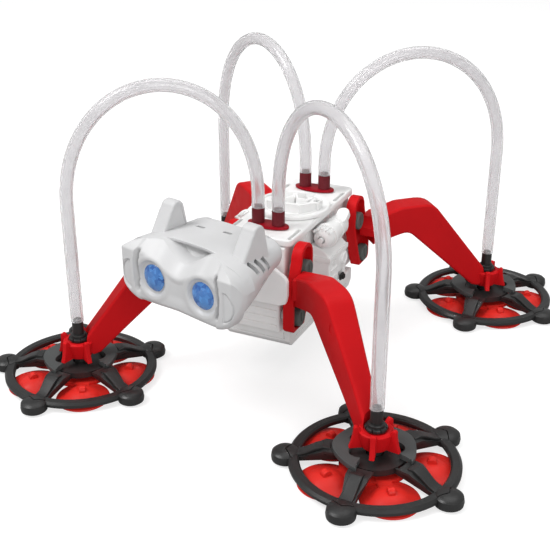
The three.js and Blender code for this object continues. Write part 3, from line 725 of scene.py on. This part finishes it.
def build_legs():
    left_hand = leg()
    right_hand = left_hand.copy()
    right_hand.data = left_hand.data.copy()
    bpy.context.scene.collection.objects.link(right_hand)
    moved(right_hand, Matrix.Diagonal((1, -1, 1, 1)))
    meshes = {1: finished(left_hand, RED), -1: finished(right_hand, RED)}
    for corner, (side, end) in CORNERS.items():
        pin = middle(f"pin_{corner}_upper")
        place = Matrix.Translation((0, pin.y - end * PIN_Y, 0))
        if side < 0:
            place = place @ Matrix.Rotation(math.pi, 4, "Z")
        mesh = meshes[side * end]
        piece(f"limb_{corner}", mesh, f"leg_{corner}", [f"leg_{corner}"], place)


def pin_cap():
    """A round grey head with a chamfered rim, a shallow dish and a slot."""
    side = [(0, 0), (3.6, 0), (3.6, 0.5), (4.2, 0.5), (4.25, 2.9), (3.9, 3.5), (3.3, 3.6), (3.0, 3.3),
            (0, 3.3)]
    cap = lathe(side, 40)
    slot_cut = softened(box(-0.5, 0.5, -2.2, 2.2, 3.0, 4.0), 0.1)
    return moved(carved(cap, slot_cut), ALONG_X)


def build_pins():
    mesh = finished(pin_cap(), PIN_GREY)
    for corner, (side, _) in CORNERS.items():
        for level in ("upper", "lower"):
            node = f"pin_{corner}_{level}"
            low, high = span(node)
            base = low.x if side > 0 else high.x
            at = middle(node)
            place = Matrix.Translation((base, at.y, at.z))
            if side < 0:
                place = place @ Matrix.Rotation(math.pi, 4, "Z")
            body = f"crank_{corner.split('_')[0]}_{level}"
            piece(f"cap_{corner}_{level}", mesh, body, [node], place)


# ---------------------------------------------------------------- air tubes


TUBE = {"radius": 2.85, "bore": 2.0, "apex": 137.0, "shoulder": 86.0, "arch": 32.0, "crown": 0.26}
NIPPLE = {"x": 4.83, "radius": 2.85, "top": span("air_port_front")[1].z}


def tube_line(start, end):
    """The tube's centre line as (share of the way across, height) points."""
    shoulder, apex, reach = TUBE["shoulder"], TUBE["apex"], 0.5 - TUBE["crown"]
    line = resample([(0, start.z), (0, shoulder)], 8)[:-1]
    line += bezier((0, shoulder), (0, shoulder + TUBE["arch"]), (reach, apex), (0.5, apex), 28)
    line += bezier((0.5, apex), (1 - reach, apex), (1, shoulder + TUBE["arch"]), (1, shoulder), 28)
    line += resample([(1, shoulder), (1, end.z)], 20)
    return line


def tube_shape(start, end):
    across = Vector((end.x - start.x, end.y - start.y, 0))
    normal = across.normalized().cross(Vector((0, 0, 1)))
    base = Vector((start.x, start.y, 0))
    points = [base + across * share + Vector((0, 0, height)) for share, height in tube_line(start, end)]
    sides = 28
    vertices = []
    for i, point in enumerate(points):
        tangent = (points[min(i + 1, len(points) - 1)] - points[max(i - 1, 0)]).normalized()
        up = normal.cross(tangent)
        for radius in (TUBE["radius"], TUBE["bore"]):
            for k in range(sides):
                angle = TURN * k / sides
                vertices.append(point + radius * (math.cos(angle) * normal + math.sin(angle) * up))
    faces = []
    stride = 2 * sides
    for k in range(sides):
        j = (k + 1) % sides
        for i in range(len(points) - 1):
            a, b = i * stride, (i + 1) * stride
            faces.append([a + k, a + j, b + j, b + k])
            faces.append([a + sides + j, a + sides + k, b + sides + k, b + sides + j])
        last = (len(points) - 1) * stride
        faces.append([k, sides + k, sides + j, j])
        faces.append([last + j, last + sides + j, last + sides + k, last + k])
    return solid(vertices, faces)


def hang_on_leg(tube, start, end, body):
    """The tube's far end follows the leg and its near end stays on the port, so it flexes between them."""
    group = tube.vertex_groups.new(name="pull")
    near = Vector((start.x, start.y))
    across = Vector((end.x, end.y)) - near
    for vertex in tube.data.vertices:
        at = vertex.co / MM
        share = (Vector((at.x, at.y)) - near).dot(across) / across.length_squared
        at_foot = share > 0.9 and at.z < end.z + 20
        group.add([vertex.index], 1.0 if at_foot else smooth(share), "REPLACE")
    hook = tube.modifiers.new("follow_leg", "HOOK")
    hook.object = frame["bodies"][body]
    hook.vertex_group = "pull"
    hook.matrix_inverse = Matrix.Translation(-DATUM * MM)
    hook.falloff_type = "NONE"


def build_tubes():
    for corner, (side, _) in CORNERS.items():
        port = middle(f"air_port_{corner.split('_')[0]}")
        foot = middle(f"nozzle_{corner}")
        start = Vector((side * NIPPLE["x"], port.y, NIPPLE["top"] - 1))
        finish_at = Vector((foot.x, foot.y, BARB["shoulder"] + 0.15))
        mesh = finished(tube_shape(start, finish_at), VINYL, 60)
        tube = piece(f"air_tube_{corner}", mesh, "body", [f"tube_{corner}"])
        hang_on_leg(tube, start, finish_at, f"leg_{corner}")


# ---------------------------------------------------------------- body


def port_plate():
    """The oval plate under a pair of nipples."""
    oval = [(9.8 * math.cos(TURN * i / 48), 4.4 * math.sin(TURN * i / 48)) for i in range(48)]
    return softened(prism(oval, 0, 1.2), 0.35)


def port_nipples():
    """A pair of upright nipples, each with a bore and a stepped mouth."""
    height = NIPPLE["top"] - span("air_port_front")[0].z
    radius = NIPPLE["radius"]
    side = [(1.1, 0.6), (radius, 0.6), (radius, height - 1.15), (1.95, height - 1.1),
            (1.85, height), (1.1, height)]
    return joined(*[shifted(lathe(side, 36), hand * NIPPLE["x"]) for hand in (-1, 1)])


def build_air_ports():
    for end in ("front", "rear"):
        node = f"air_port_{end}"
        low, _ = span(node)
        place = Matrix.Translation((0, middle(node).y, low.z))
        plate = finished(port_plate(), OVAL_RED)
        piece(f"port_plate_{end}", plate, "body", [node], place)
        nipples = finished(port_nipples(), DARK_RED)
        piece(f"port_nipples_{end}", nipples, "body", [], place)


def housing_shape():
    """The hollow mechanism box: a deep foot for the lower cranks under a narrower top."""
    low, high = span("housing")
    half_width = high.x
    half = [(42.2, low.z), (42.2, 47), (37, 52), (37, high.z)]
    outline = half + [(-y, z) for y, z in reversed(half)]
    inset = 2
    inner = [(40.2, low.z + inset), (40.2, 46.2), (35, 51.2), (35, high.z - inset)]
    inner += [(-y, z) for y, z in reversed(inner)]
    outer = moved(softened(prism(outline, -half_width, half_width), 0.9, 3), ALONG_X)
    hollow = moved(prism(inner, inset - half_width, half_width - inset), ALONG_X)
    tools = [hollow, box(inset - half_width, half_width - inset, -34, 34, low.z - 1, low.z + 3),
             box(inset - half_width, half_width - inset, -34, 34, high.z - 3, high.z + 1)]
    for end in (-1, 1):
        for y, z in ((PIN_Y, PIN_Z), (LOWER_PIN_Y, LOWER_PIN_Z)):
            tools.append(laid_along_x(rod(3.6, -20, 20, 28), 0, end * y, z))
    shell = carved(outer, *tools)
    ribs = []
    for side in (-1, 1):
        x0, x1 = sorted((side * (half_width - 0.2), side * (half_width + 0.35)))
        for y in (-17.5, -13.5, 13.5, 17.5):
            ribs.append(softened(box(x0, x1, y - 0.6, y + 0.6, low.z + 1, high.z - 1.5), 0.15))
    for end in (-1, 1):
        y0, y1 = sorted((end * 42.0, end * 42.7))
        for z in (34.6, 38.2, 41.8, 45.2):
            ribs.append(softened(box(-half_width + 1.2, half_width - 1.2, y0, y1, z - 0.55, z + 0.55), 0.2))
        y0, y1 = sorted((end * 36.8, end * 37.4))
        ribs.append(softened(box(-9, 9, y0, y1, 54, 56), 0.2))
    return joined(shell, *ribs)


def cover_shape():
    low, high = span("top_cover")
    half_x, half_y = high.x, (high.y - low.y) / 2
    plate = softened(prism(rounded_rectangle(half_x, half_y, 3, 8), low.z, high.z), 0.9, 3)
    cuts = []
    for side in (-1, 1):
        for y0, y1 in ((-35.5, -23), (15, 28)):
            points = rounded_rectangle(0.85, (y1 - y0) / 2, 0.8, 4)
            cuts.append(shifted(prism(points, high.z - 3.1, high.z + 1), side * 14.1, (y0 + y1) / 2))
        seam = box(side * 15.0 - 0.15, side * 15.0 + 0.15, -12, 13, high.z - 0.4, high.z + 1)
        cuts.append(seam)
    return carved(plate, *cuts)


def hexagon(x, y, radius, low, high):
    return prism(ring_points(radius, 6, x, y), low, high)


def turret_shape():
    """The round top turret: stepped rim, an angled wall, a hollow post and two six-sided wells."""
    low, _ = span("turret")
    profile = [(0, 0), (17.2, 0), (17.2, 1.2), (16.8, 1.6), (15.9, 1.6), (15.6, 1.3), (15.6, 0.7),
               (13.2, 0.7), (12.9, 1.3), (12.5, 1.3), (12.2, 0.8), (0, 0.8)]
    wall = softened(box(-9, 7.5, -9, -7.2, 0.4, 4.8), 0.3)
    bend = softened(turned(box(0, 8.2, -0.9, 0.9, 0.4, 4.8), 50), 0.3)
    post = softened(box(9.0, 13.4, -1.7, 3.7, 0.4, 4.4), 0.4)
    wells = [softened(hexagon(-5.4, 3.4, 5.0, 0.4, 4.0), 0.25),
             softened(hexagon(4.4, 5.4, 5.4, 0.4, 4.2), 0.25)]
    body = joined(lathe(profile, 80), wall, shifted(bend, 6.6, -8.2), post, *wells)
    pits = [hexagon(-5.4, 3.4, 4.1, 0.9, 6), hexagon(4.4, 5.4, 4.5, 0.9, 6),
            box(10.4, 12.7, -0.6, 2.6, 1.2, 6)]
    return shifted(carved(body, *pits), 0, 0, low.z)


def battery_shape():
    """The battery case: a chamfered tray with shallow grooves and a hollow for the cells."""
    low, high = span("battery_case")
    half_x, half_y = high.x, (high.y - low.y) / 2
    side = [(half_y, high.z), (half_y, low.z + 3), (half_y - 3, low.z), (3 - half_y, low.z),
            (-half_y, low.z + 3), (-half_y, high.z)]
    tray = moved(softened(prism(side, -half_x, half_x), 0.7, 3), ALONG_X)
    hollow = box(2 - half_x, half_x - 2, 2 - half_y, half_y - 2, low.z + 1.8, high.z + 1)
    cuts = [hollow]
    for end in (-1, 1):
        y0, y1 = sorted((end * (half_y - 0.4), end * (half_y + 1)))
        cuts.append(box(-half_x + 3.5, half_x - 3.5, y0, y1, 26.1, 26.5))
        y0, y1 = sorted((end * (half_y - 0.8), end * (half_y + 1)))
        for corner in (-1, 1):
            cuts.append(box(corner * 13.2 - 0.5, corner * 13.2 + 0.5, y0, y1, 26.4, 29.4))
    for edge in (-1, 1):
        x0, x1 = sorted((edge * (half_x - 0.35), edge * (half_x + 1)))
        cuts.append(box(x0, x1, -half_y + 6, half_y - 6, 25.0, 25.35))
    return carved(tray, *cuts)


def pump_box_shape(side):
    """A chamfered side box with its lid flange, switch slot, round boss and well."""
    inner, outer, low, high = 13.5, 23.0, 41.0, 57.5
    points = [(inner, high + 4), (outer - 3, high + 1.5), (outer, high - 1), (outer, low),
              (outer - 3, low - 3), (inner, low - 3)]
    block = softened(moved(prism(points, -10.2, 10.2), ALONG_Y), 0.7, 3)
    flange = softened(box(inner, outer + 0.7, -10.9, 10.9, high - 3.6, high - 1.4), 0.3)
    lip = softened(box(inner, outer + 0.25, -10.5, 10.5, high - 4.5, high - 4.0), 0.1)
    boss = lathe([(0, 0), (3.1, 0), (3.1, 1.5), (2.5, 1.9), (2.2, 1.5), (0, 1.5)], 32)
    boss = laid_along_x(softened(boss, 0.1), outer - 0.6, 6.2, 50.2)
    rib = softened(box(outer - 0.5, outer + 0.55, -8.2, -1.0, 44.6, 45.6), 0.2)
    seam = softened(box(outer - 0.5, outer + 0.55, -8.2, -1.0, 48.6, 49.4), 0.2)
    whole = joined(block, flange, lip, boss, rib, seam)
    slot = box(outer - 2.4, outer + 1, 0.6, 6.0, 40.6, 45.0)
    well = laid_along_x(rod(2.0, outer - 2.4, outer + 1, 24), 0, -4.6, 52)
    whole = carved(whole, slot, well)
    return whole if side > 0 else mirrored(whole)


def pump_cylinder_shape():
    """The air cylinder along Y: a rounded front with comb ribs, two bands and a flared lobe behind."""
    front_cap = [(1.7, -9.0), (1.7, -12.2), (2.6, -12.2), (3.7, -11.6), (4.3, -10.6), (4.7, -8.8),
                 (4.7, -7.4)]
    band = [(5.5, -7.2), (5.7, -6.8), (5.7, -5.4), (5.5, -5.1), (4.75, -4.9)]
    waist = [(4.75, 2.0), (5.1, 2.2), (5.1, 3.0), (4.75, 3.2)]
    rear_cap = [(4.75, 8.4), (3.6, 11.6), (2.6, 12.2), (0, 12.2), (0, 10), (3.4, 10), (3.4, -9.0)]
    barrel = turned(lathe(front_cap + band + waist + rear_cap, 44), -90, "X")
    ribs = []
    for angle in (40, 64, 88, 112, 136):
        rib = softened(box(-0.35, 0.35, -12.0, -7.3, 4.4, 5.5), 0.12)
        ribs.append(turned(rib, angle - 90, "Y"))
    lobe = softened(prism(rounded_rectangle(2.9, 4.4, 2.7, 8), 0, 3.4), 0.6, 3)
    lobe = shifted(turned(lobe, 30, "X"), 1.6, 9.4, 2.4)
    return joined(barrel, lobe, *ribs)


def switch_shape():
    """The sliding knob: a flat bed with three ridges."""
    bed = softened(box(0, 1.0, -2.0, 2.0, -1.4, 1.4), 0.2)
    ridges = [softened(box(0.7, 1.9, y - 0.3, y + 0.3, -1.0, 1.0), 0.12) for y in (-0.9, 0, 0.9)]
    return joined(bed, *ridges)


def neck_shape():
    """The shoulder board behind the head, its block and the pin that the head turns on."""
    low, high = span("neck")
    half = high.x
    front = low.y - BODY_Y
    bottom, top = low.z, 66.2
    corners = [(half - 4, bottom), (half - 0.8, bottom + 1.4), (half, bottom + 5), (half, top - 6)]
    corners += [(half - 1.0, top - 4.2), (half - 7.5, top)]
    outline = corners + [(-x, z) for x, z in reversed(corners)]
    board = moved(softened(prism(outline, -front - 2.4, -front), 0.6, 3), ALONG_Y)
    block = softened(box(-9, 9, front + 1, -37.4, 53, top), 0.8)
    pin_side = [(0, top - 1), (2.5, top - 1), (2.5, high.z - 0.4), (2.1, high.z), (0, high.z)]
    return joined(board, block, shifted(lathe(pin_side, 32), 0, PIVOT_Y))


def build_body():
    parts = (
        ("body_housing", housing_shape(), WHITE, "white_plastic", "housing"),
        ("roof", cover_shape(), WHITE, "white_plastic", "top_cover"),
        ("roof_turret", turret_shape(), WHITE, "white_plastic", "turret"),
        ("battery_tray", battery_shape(), WHITE, "white_plastic", "battery_case"),
        ("shoulder_board", neck_shape(), WHITE, "white_plastic", "neck"),
    )
    for name, shape, material, slot, node in parts:
        piece(name, finished(shape, material), "body", [node], TO_BODY)
    for name, side in (("left", 1), ("right", -1)):
        mesh = finished(pump_box_shape(side), WHITE)
        piece(f"side_box_{name}", mesh, "body", [f"pump_box_{name}"], TO_BODY)
        node = f"pump_cylinder_{name}"
        cylinder = pump_cylinder_shape()
        if side < 0:
            mirrored(cylinder)
        place = Matrix.Translation((side * 19.6, BODY_Y, middle(node).z))
        mesh = finished(cylinder, WHITE)
        piece(f"air_cylinder_{name}", mesh, "body", [node], place)
    low, _ = span("power_switch")
    at = middle("power_switch")
    piece("switch_knob", finished(switch_shape(), BLACK), "switch", ["power_switch"],
          Matrix.Translation((low.x, at.y, at.z)))


# ---------------------------------------------------------------- head


EYE_LEFT, EYE_RIGHT = middle("lens_left"), middle("lens_right")
HEAD_TURN = math.atan2(EYE_LEFT.y - EYE_RIGHT.y, EYE_LEFT.x - EYE_RIGHT.x)
EYE_X = math.dist(EYE_LEFT, EYE_RIGHT) / 2
EYE_Z = EYE_LEFT.z
TO_HEAD = (TO_BODY @ Matrix.Translation((0, PIVOT_Y, 0)) @ Matrix.Rotation(HEAD_TURN, 4, "Z")
           @ Matrix.Translation((0, -PIVOT_Y, 0)))
HEAD = {"front": -88.0, "seam": -82.5, "rear": -50.0, "brow": -77.5, "half_width": 32.2}
CROWN_Z = 81.8
CHIN_Z = 56.5


def head_outline(steps=16):
    """Front view of the head, half of it from the top middle round to the bottom middle."""
    half = bezier((0, 83.6), (10, 83.6), (20, 84.0), (26.5, 80.6), steps)
    half += bezier((26.5, 80.6), (31, 78.2), (32.6, 74.5), (32.2, 70), steps)
    half += bezier((32.2, 70), (31.4, 62), (28, 57), (21, 55.8), steps)
    half += bezier((21, 55.8), (14, 55.6), (7, 56.3), (0, CHIN_Z), steps)
    return half


def full_head_outline():
    half = head_outline()
    return half + [(0, CHIN_Z)] + [(-x, z) for x, z in reversed(half[1:])]


def seam_y(x, z):
    """Where shell and face part: behind the cheeks at the sides and swept back over the brow."""
    lifted = smooth((z - 73) / 8)
    sweep = max(0.0, 1 - (abs(x) / 27) ** 2.2)
    y = HEAD["seam"] + (HEAD["brow"] - HEAD["seam"]) * lifted * sweep
    return y - 2.0 * lifted * smooth((abs(x) - 12) / 9) * (1 - smooth((abs(x) - 23) / 5))


def shell_ring(share, inset=0.0, shift=0.0):
    """One ring of the shell, which narrows to the back, mostly from below."""
    ring = []
    scale = 1 - inset / 30
    for x, z in full_head_outline():
        front = seam_y(x, z)
        y = front + (HEAD["rear"] - front) * share + shift
        depth = (y - HEAD["front"]) / (HEAD["rear"] - HEAD["front"])
        narrow = (1 - 0.24 * smooth(depth) ** 1.2) * scale
        lift = (1 - 0.5 * depth) * scale
        thickness = 0.9 * inset if z > CROWN_Z else 0.0
        ring.append((x * narrow, y, CROWN_Z + (z - CROWN_Z) * lift - thickness))
    return ring


def head_shell():
    """The helmet: a hollow front with a thin lip, closed behind, on the tongue of the neck pin."""
    rings = [shell_ring(0.97, 9, 0.6), shell_ring(1.0, 4, 0.2), shell_ring(0.985, 1.2)]
    rings += [shell_ring(share) for share in (0.95, 0.88, 0.78, 0.66, 0.54, 0.42, 0.3, 0.2, 0.1, 0.03)]
    rings += [shell_ring(0.0, 0.25), shell_ring(0.0, 0.9), shell_ring(0.01, 1.5), shell_ring(0.18, 1.8)]
    helmet = loft(rings)
    root = HEAD["rear"] - 4
    tongue = prism(arc(0, PIVOT_Y, 6, 0, 180, 14) + [(-6, root), (6, root)], 66.8, 69.2)
    strut = softened(box(-6, 6, HEAD["rear"] - 5, HEAD["rear"] + 1.6, 66.8, 72.5), 0.4)
    helmet = joined(helmet, softened(tongue, 0.3), strut)
    cuts = [shifted(rod(2.7, 60, 80, 28), 0, PIVOT_Y)]
    for x, y in ((-9.9, -62), (3, -60)):
        cuts.append(shifted(prism(rounded_rectangle(2.3, 0.8, 0.7, 4), 80.6, 90), x, y))
    for side in (-1, 1):
        cuts += louvres(side)
        groove = turned(box(-1.4, 0.9, -9.5, 9.5, -0.22, 0.22), 3, "X")
        cuts.append(shifted(groove, side * 28.2, -68, 71.4))
    return carved(helmet, *cuts)


def column_limits(x):
    """The lowest and highest point of the head's front view at x."""
    half = head_outline(40)
    half.append((0, CHIN_Z))
    top_line = [p for p in half if p[1] >= 70]
    low_line = [p for p in half if p[1] <= 70.01]
    found = []
    for line in (low_line, top_line):
        value = line[-1][1] if line is low_line else line[0][1]
        for (x0, z0), (x1, z1) in zip(line, line[1:]):
            if min(x0, x1) <= abs(x) <= max(x0, x1) and x0 != x1:
                value = z0 + (z1 - z0) * (abs(x) - x0) / (x1 - x0)
                break
        found.append(value)
    return found


def edge_round(distance, radius):
    """How far a rounded edge falls back at a distance from the outline."""
    if distance >= radius:
        return 0.0
    reach = radius - max(0.0, distance)
    return radius - math.sqrt(max(0.0, radius * radius - reach * reach))


def face_depth(x, z, low):
    """Height field of the goggle face, as the distance behind its front plane."""
    reach = abs(x)
    crease = 71.6 + 5.0 * smooth(reach / 12.5) + 1.4 * smooth((reach - 12) / 9)
    above = z - crease
    slope = 1.15 * (above + math.sqrt(above * above + 0.6)) / 2
    depth = slope * (1 - smooth((reach - 20) / 6)) + 0.9 * max(0.0, above) * smooth((reach - 20) / 6)
    depth += 0.55 * (1 - smooth(reach / 9)) * smooth((crease - z) / 3) * smooth((z - 60) / 4)
    depth += edge_round(z - low, 2.6)
    depth += 0.9 * edge_round((HEAD["half_width"] - reach) * 1.1, 4.5)
    eye = math.hypot(reach - EYE_X, z - EYE_Z)
    depth += 1.3 * smooth((7.7 - eye) / 0.9) - 0.2 * smooth((1.4 - abs(eye - 8.9)) / 1.4)
    fade = smooth((z - 59.5) / 2.5) * smooth((79.5 - z) / 2.5)
    bow = 20.6 + 1.5 * (1 - ((z - 69) / 10.5) ** 2)
    groove = smooth((1.25 - abs(reach - bow)) / 0.6)
    depth += 2.0 * groove * fade
    depth -= 0.7 * smooth((reach - bow) / 1.2) * (1 - smooth((reach - 29) / 2))
    panel = ((reach - 24.8) / 5.4) ** 2 + ((z - 67.0) / 6.8) ** 2
    if reach > 24.8:
        depth += 1.0 * smooth((1.0 - panel) / 0.14) - 0.45 * smooth((0.78 - panel) / 0.1)
    return depth


def face_mask():
    """The face plate with an M-shaped top edge, dished eye sockets and temple panels."""
    columns, face_rows, brow_rows = 168, 70, 10
    rows = face_rows + brow_rows
    front, back = [], []
    for i in range(columns + 1):
        u = -1 + 2 * i / columns
        x = HEAD["half_width"] * math.sin(u * math.pi / 2) * 0.999
        low, high = column_limits(x)
        dip = 6.8 * (1 - smooth(abs(x) / 14.5))
        edge = max(high - dip - 0.35, low + 0.02)
        top = max(high - 0.5, edge + 0.01)
        for j in range(rows + 1):
            on_brow = j > face_rows
            share = (j - face_rows) / brow_rows if on_brow else j / face_rows
            z = edge + (top - edge) * share if on_brow else low + (edge - low) * share
            behind = seam_y(x, z) - 0.4
            y = min(HEAD["front"] + face_depth(x, z, low), behind - 0.3)
            if on_brow:
                y = behind + 3.4 + 0.6 * share
                behind = y + 1.2
            front.append((x, y, z))
            back.append((x, behind, z))
    vertices = front + back
    shift = len(front)
    faces = []

    def index(i, j):
        return i * (rows + 1) + j

    for i in range(columns):
        for j in range(rows):
            a, b, c, d = index(i, j), index(i + 1, j), index(i + 1, j + 1), index(i, j + 1)
            faces.append([a, b, c, d])
            faces.append([d + shift, c + shift, b + shift, a + shift])
        for j in (0, rows):
            a, b = index(i, j), index(i + 1, j)
            faces.append([b, a, a + shift, b + shift] if j == 0 else [a, b, b + shift, a + shift])
    for j in range(rows):
        a, b = index(0, j), index(0, j + 1)
        faces.append([a, b, b + shift, a + shift])
        a, b = index(columns, j), index(columns, j + 1)
        faces.append([b, a, a + shift, b + shift])
    return solid(vertices, faces)


def louvres(side):
    """Three slanted slots where the ear's outer face meets the shell."""
    slots = []
    for i in range(3):
        slot = turned(box(0, 6, -1.15, 1.15, -3.1, 3.1), 24, "X")
        slot = shifted(turned(slot, -25, "Y"), 24.6, -73.0 + 4.5 * i, 77.2 - 0.3 * i)
        slots.append(slot if side > 0 else mirrored(slot))
    return slots


def ear_shape(side):
    """A flat ear with a rounded tip and a shallow recess on the face towards the other ear."""
    tip, radius, thickness = (-66.2, 90.0), 3.6, 3.5
    line = [(-79.0, 76.5), (-70.6, 90.0), *arc(*tip, radius, 165, 12, 12), (-59.6, 76.5)]
    hollow = [(-75.0, 79.5), (-68.6, 90.2), *arc(*tip, radius - 1.5, 150, 14, 10), (-61.4, 79.5)]
    blade = softened(moved(prism(line, -thickness, thickness), ALONG_X), 1.0, 4)
    inner_face = -side * thickness
    recess = moved(prism(hollow, *sorted((inner_face - 0.5, inner_face + 0.5))), ALONG_X)
    blade = carved(blade, softened(recess, 0.15))
    return carved(shifted(blade, side * 21.6), *louvres(side))


def lens_shape():
    """A faceted dome: the cells of a ball, each with a narrow bevelled border."""
    ball = bmesh.new()
    bmesh.ops.create_icosphere(ball, subdivisions=4, radius=6.9)
    kept = [v for v in ball.verts if v.co.z > 3.1]
    vertices, faces = [], []
    for vertex in kept:
        normal = vertex.co.normalized()
        side = normal.orthogonal().normalized()
        other = normal.cross(side)
        centres = [face.calc_center_median() for face in vertex.link_faces]
        centres.sort(key=lambda c: math.atan2((c - vertex.co).dot(other), (c - vertex.co).dot(side)))
        faces.append(list(range(len(vertices), len(vertices) + len(centres))))
        vertices += centres
    ball.free()
    mesh = bpy.data.meshes.new("shape")
    mesh.from_pydata([tuple(v) for v in vertices], [], faces)
    work = bmesh.new()
    work.from_mesh(mesh)
    bmesh.ops.remove_doubles(work, verts=work.verts, dist=1e-3)
    bmesh.ops.inset_individual(work, faces=work.faces, thickness=0.12, depth=0.1)
    rim = [e for e in work.edges if e.is_boundary]
    drawn = bmesh.ops.extrude_edge_only(work, edges=rim)
    skirt = [v for v in drawn["geom"] if isinstance(v, bmesh.types.BMVert)]
    for vertex in skirt:
        vertex.co.z = 2.0
        flat = Vector((vertex.co.x, vertex.co.y))
        flat = flat.normalized() * 6.05
        vertex.co.x, vertex.co.y = flat
    bmesh.ops.holes_fill(work, edges=[e for e in work.edges if e.is_boundary], sides=0)
    bmesh.ops.recalc_face_normals(work, faces=work.faces)
    work.to_mesh(mesh)
    work.free()
    thing = bpy.data.objects.new("shape", mesh)
    bpy.context.scene.collection.objects.link(thing)
    flattened = Matrix.Diagonal((1, 1, 0.62, 1))
    return moved(thing, Matrix.Rotation(math.radians(90), 4, "X") @ flattened)


def build_head():
    piece("helmet", finished(head_shell(), PALE, 40), "head", ["head_shell"], TO_HEAD)
    piece("goggle_face", finished(face_mask(), PALE, 46), "head", ["head_face"], TO_HEAD)
    lens_mesh = finished(lens_shape(), LENS, 12)
    for name, side in (("left", 1), ("right", -1)):
        ear = finished(ear_shape(side), PALE)
        piece(f"ear_blade_{name}", ear, "head", [f"ear_{name}"], TO_HEAD)
        seat = Matrix.Translation((side * EYE_X, HEAD["front"] + 3.7, EYE_Z))
        place = TO_HEAD @ seat @ Matrix.Rotation(math.radians(side * 7), 4, "Z")
        piece(f"eye_lens_{name}", lens_mesh, "head", [f"lens_{name}"], place)


# ---------------------------------------------------------------- stage, light and camera


def studio_white(tree, lit, seen):
    """A brightness that is high for the camera and through the clear tubes, and lower as light."""
    rays = tree.nodes.new("ShaderNodeLightPath")
    total = tree.nodes.new("ShaderNodeMath")
    total.operation = "MAXIMUM"
    through = ramp(tree, rays.outputs["Is Transmission Ray"], 0, 0.8, 0, 1)
    tree.links.new(rays.outputs["Is Camera Ray"], total.inputs[0])
    tree.links.new(through, total.inputs[1])
    return ramp(tree, total.outputs["Value"], lit, seen, 0, 1)


def build_stage():
    """A pale floor that throws back little light but looks white to the camera."""
    mesh = bpy.data.meshes.new("floor")
    reach = 6.0
    corners = [(x * reach, y * reach, 0) for x, y in ((-1, -1), (1, -1), (1, 1), (-1, 1))]
    mesh.from_pydata(corners, [], [(0, 1, 2, 3)])
    floor = bpy.data.objects.new("floor", mesh)
    bpy.context.scene.collection.objects.link(floor)
    material, tree, surface = node_material("floor_white")
    surface.inputs["Base Color"].default_value = (0.42, 0.42, 0.42, 1)
    surface.inputs["Roughness"].default_value = 0.9
    surface.inputs["Specular IOR Level"].default_value = 0.05
    surface.inputs["Emission Color"].default_value = (1, 1, 1, 1)
    tree.links.new(studio_white(tree, 0.0, 0.68), surface.inputs["Emission Strength"])
    mesh.materials.append(material)


def area_light(name, place, aim, size, power):
    light = bpy.data.lights.new(name, "AREA")
    light.shape = "DISK"
    light.size = size
    light.energy = power
    thing = bpy.data.objects.new(name, light)
    bpy.context.scene.collection.objects.link(thing)
    thing.location = place
    thing.rotation_euler = (Vector(aim) - Vector(place)).to_track_quat("-Z", "Y").to_euler()


def build_light():
    world = bpy.data.worlds.new("studio")
    world.use_nodes = True
    background = world.node_tree.nodes["Background"]
    background.inputs["Color"].default_value = (1, 1, 1, 1)
    white = studio_white(world.node_tree, 0.46, 1.0)
    world.node_tree.links.new(white, background.inputs["Strength"])
    bpy.context.scene.world = world
    centre = (0, 0, 0.06)
    area_light("key", (-0.55, -0.45, 1.0), centre, 0.6, 8.6)
    area_light("top", (0.1, 0.25, 1.1), centre, 0.9, 3.5)
    area_light("fill", (0.75, -0.75, 0.4), centre, 0.7, 4.4)


def build_camera():
    camera = bpy.data.cameras.new("camera")
    camera.lens = 66.65
    camera.sensor_width = 36
    camera.clip_start = 0.01
    thing = bpy.data.objects.new("camera", camera)
    bpy.context.scene.collection.objects.link(thing)
    thing.location = (0.1788, -0.39365, 0.2371)
    thing.rotation_euler = (math.radians(65), 0, math.radians(25.3))
    bpy.context.scene.camera = thing


# ---------------------------------------------------------------- everything


finish_frame_nodes()
build_feet()
build_legs()
build_pins()
build_tubes()
build_air_ports()
build_body()
build_head()
build_stage()
build_light()
build_camera()
bpy.context.scene.view_settings.view_transform = "Standard"
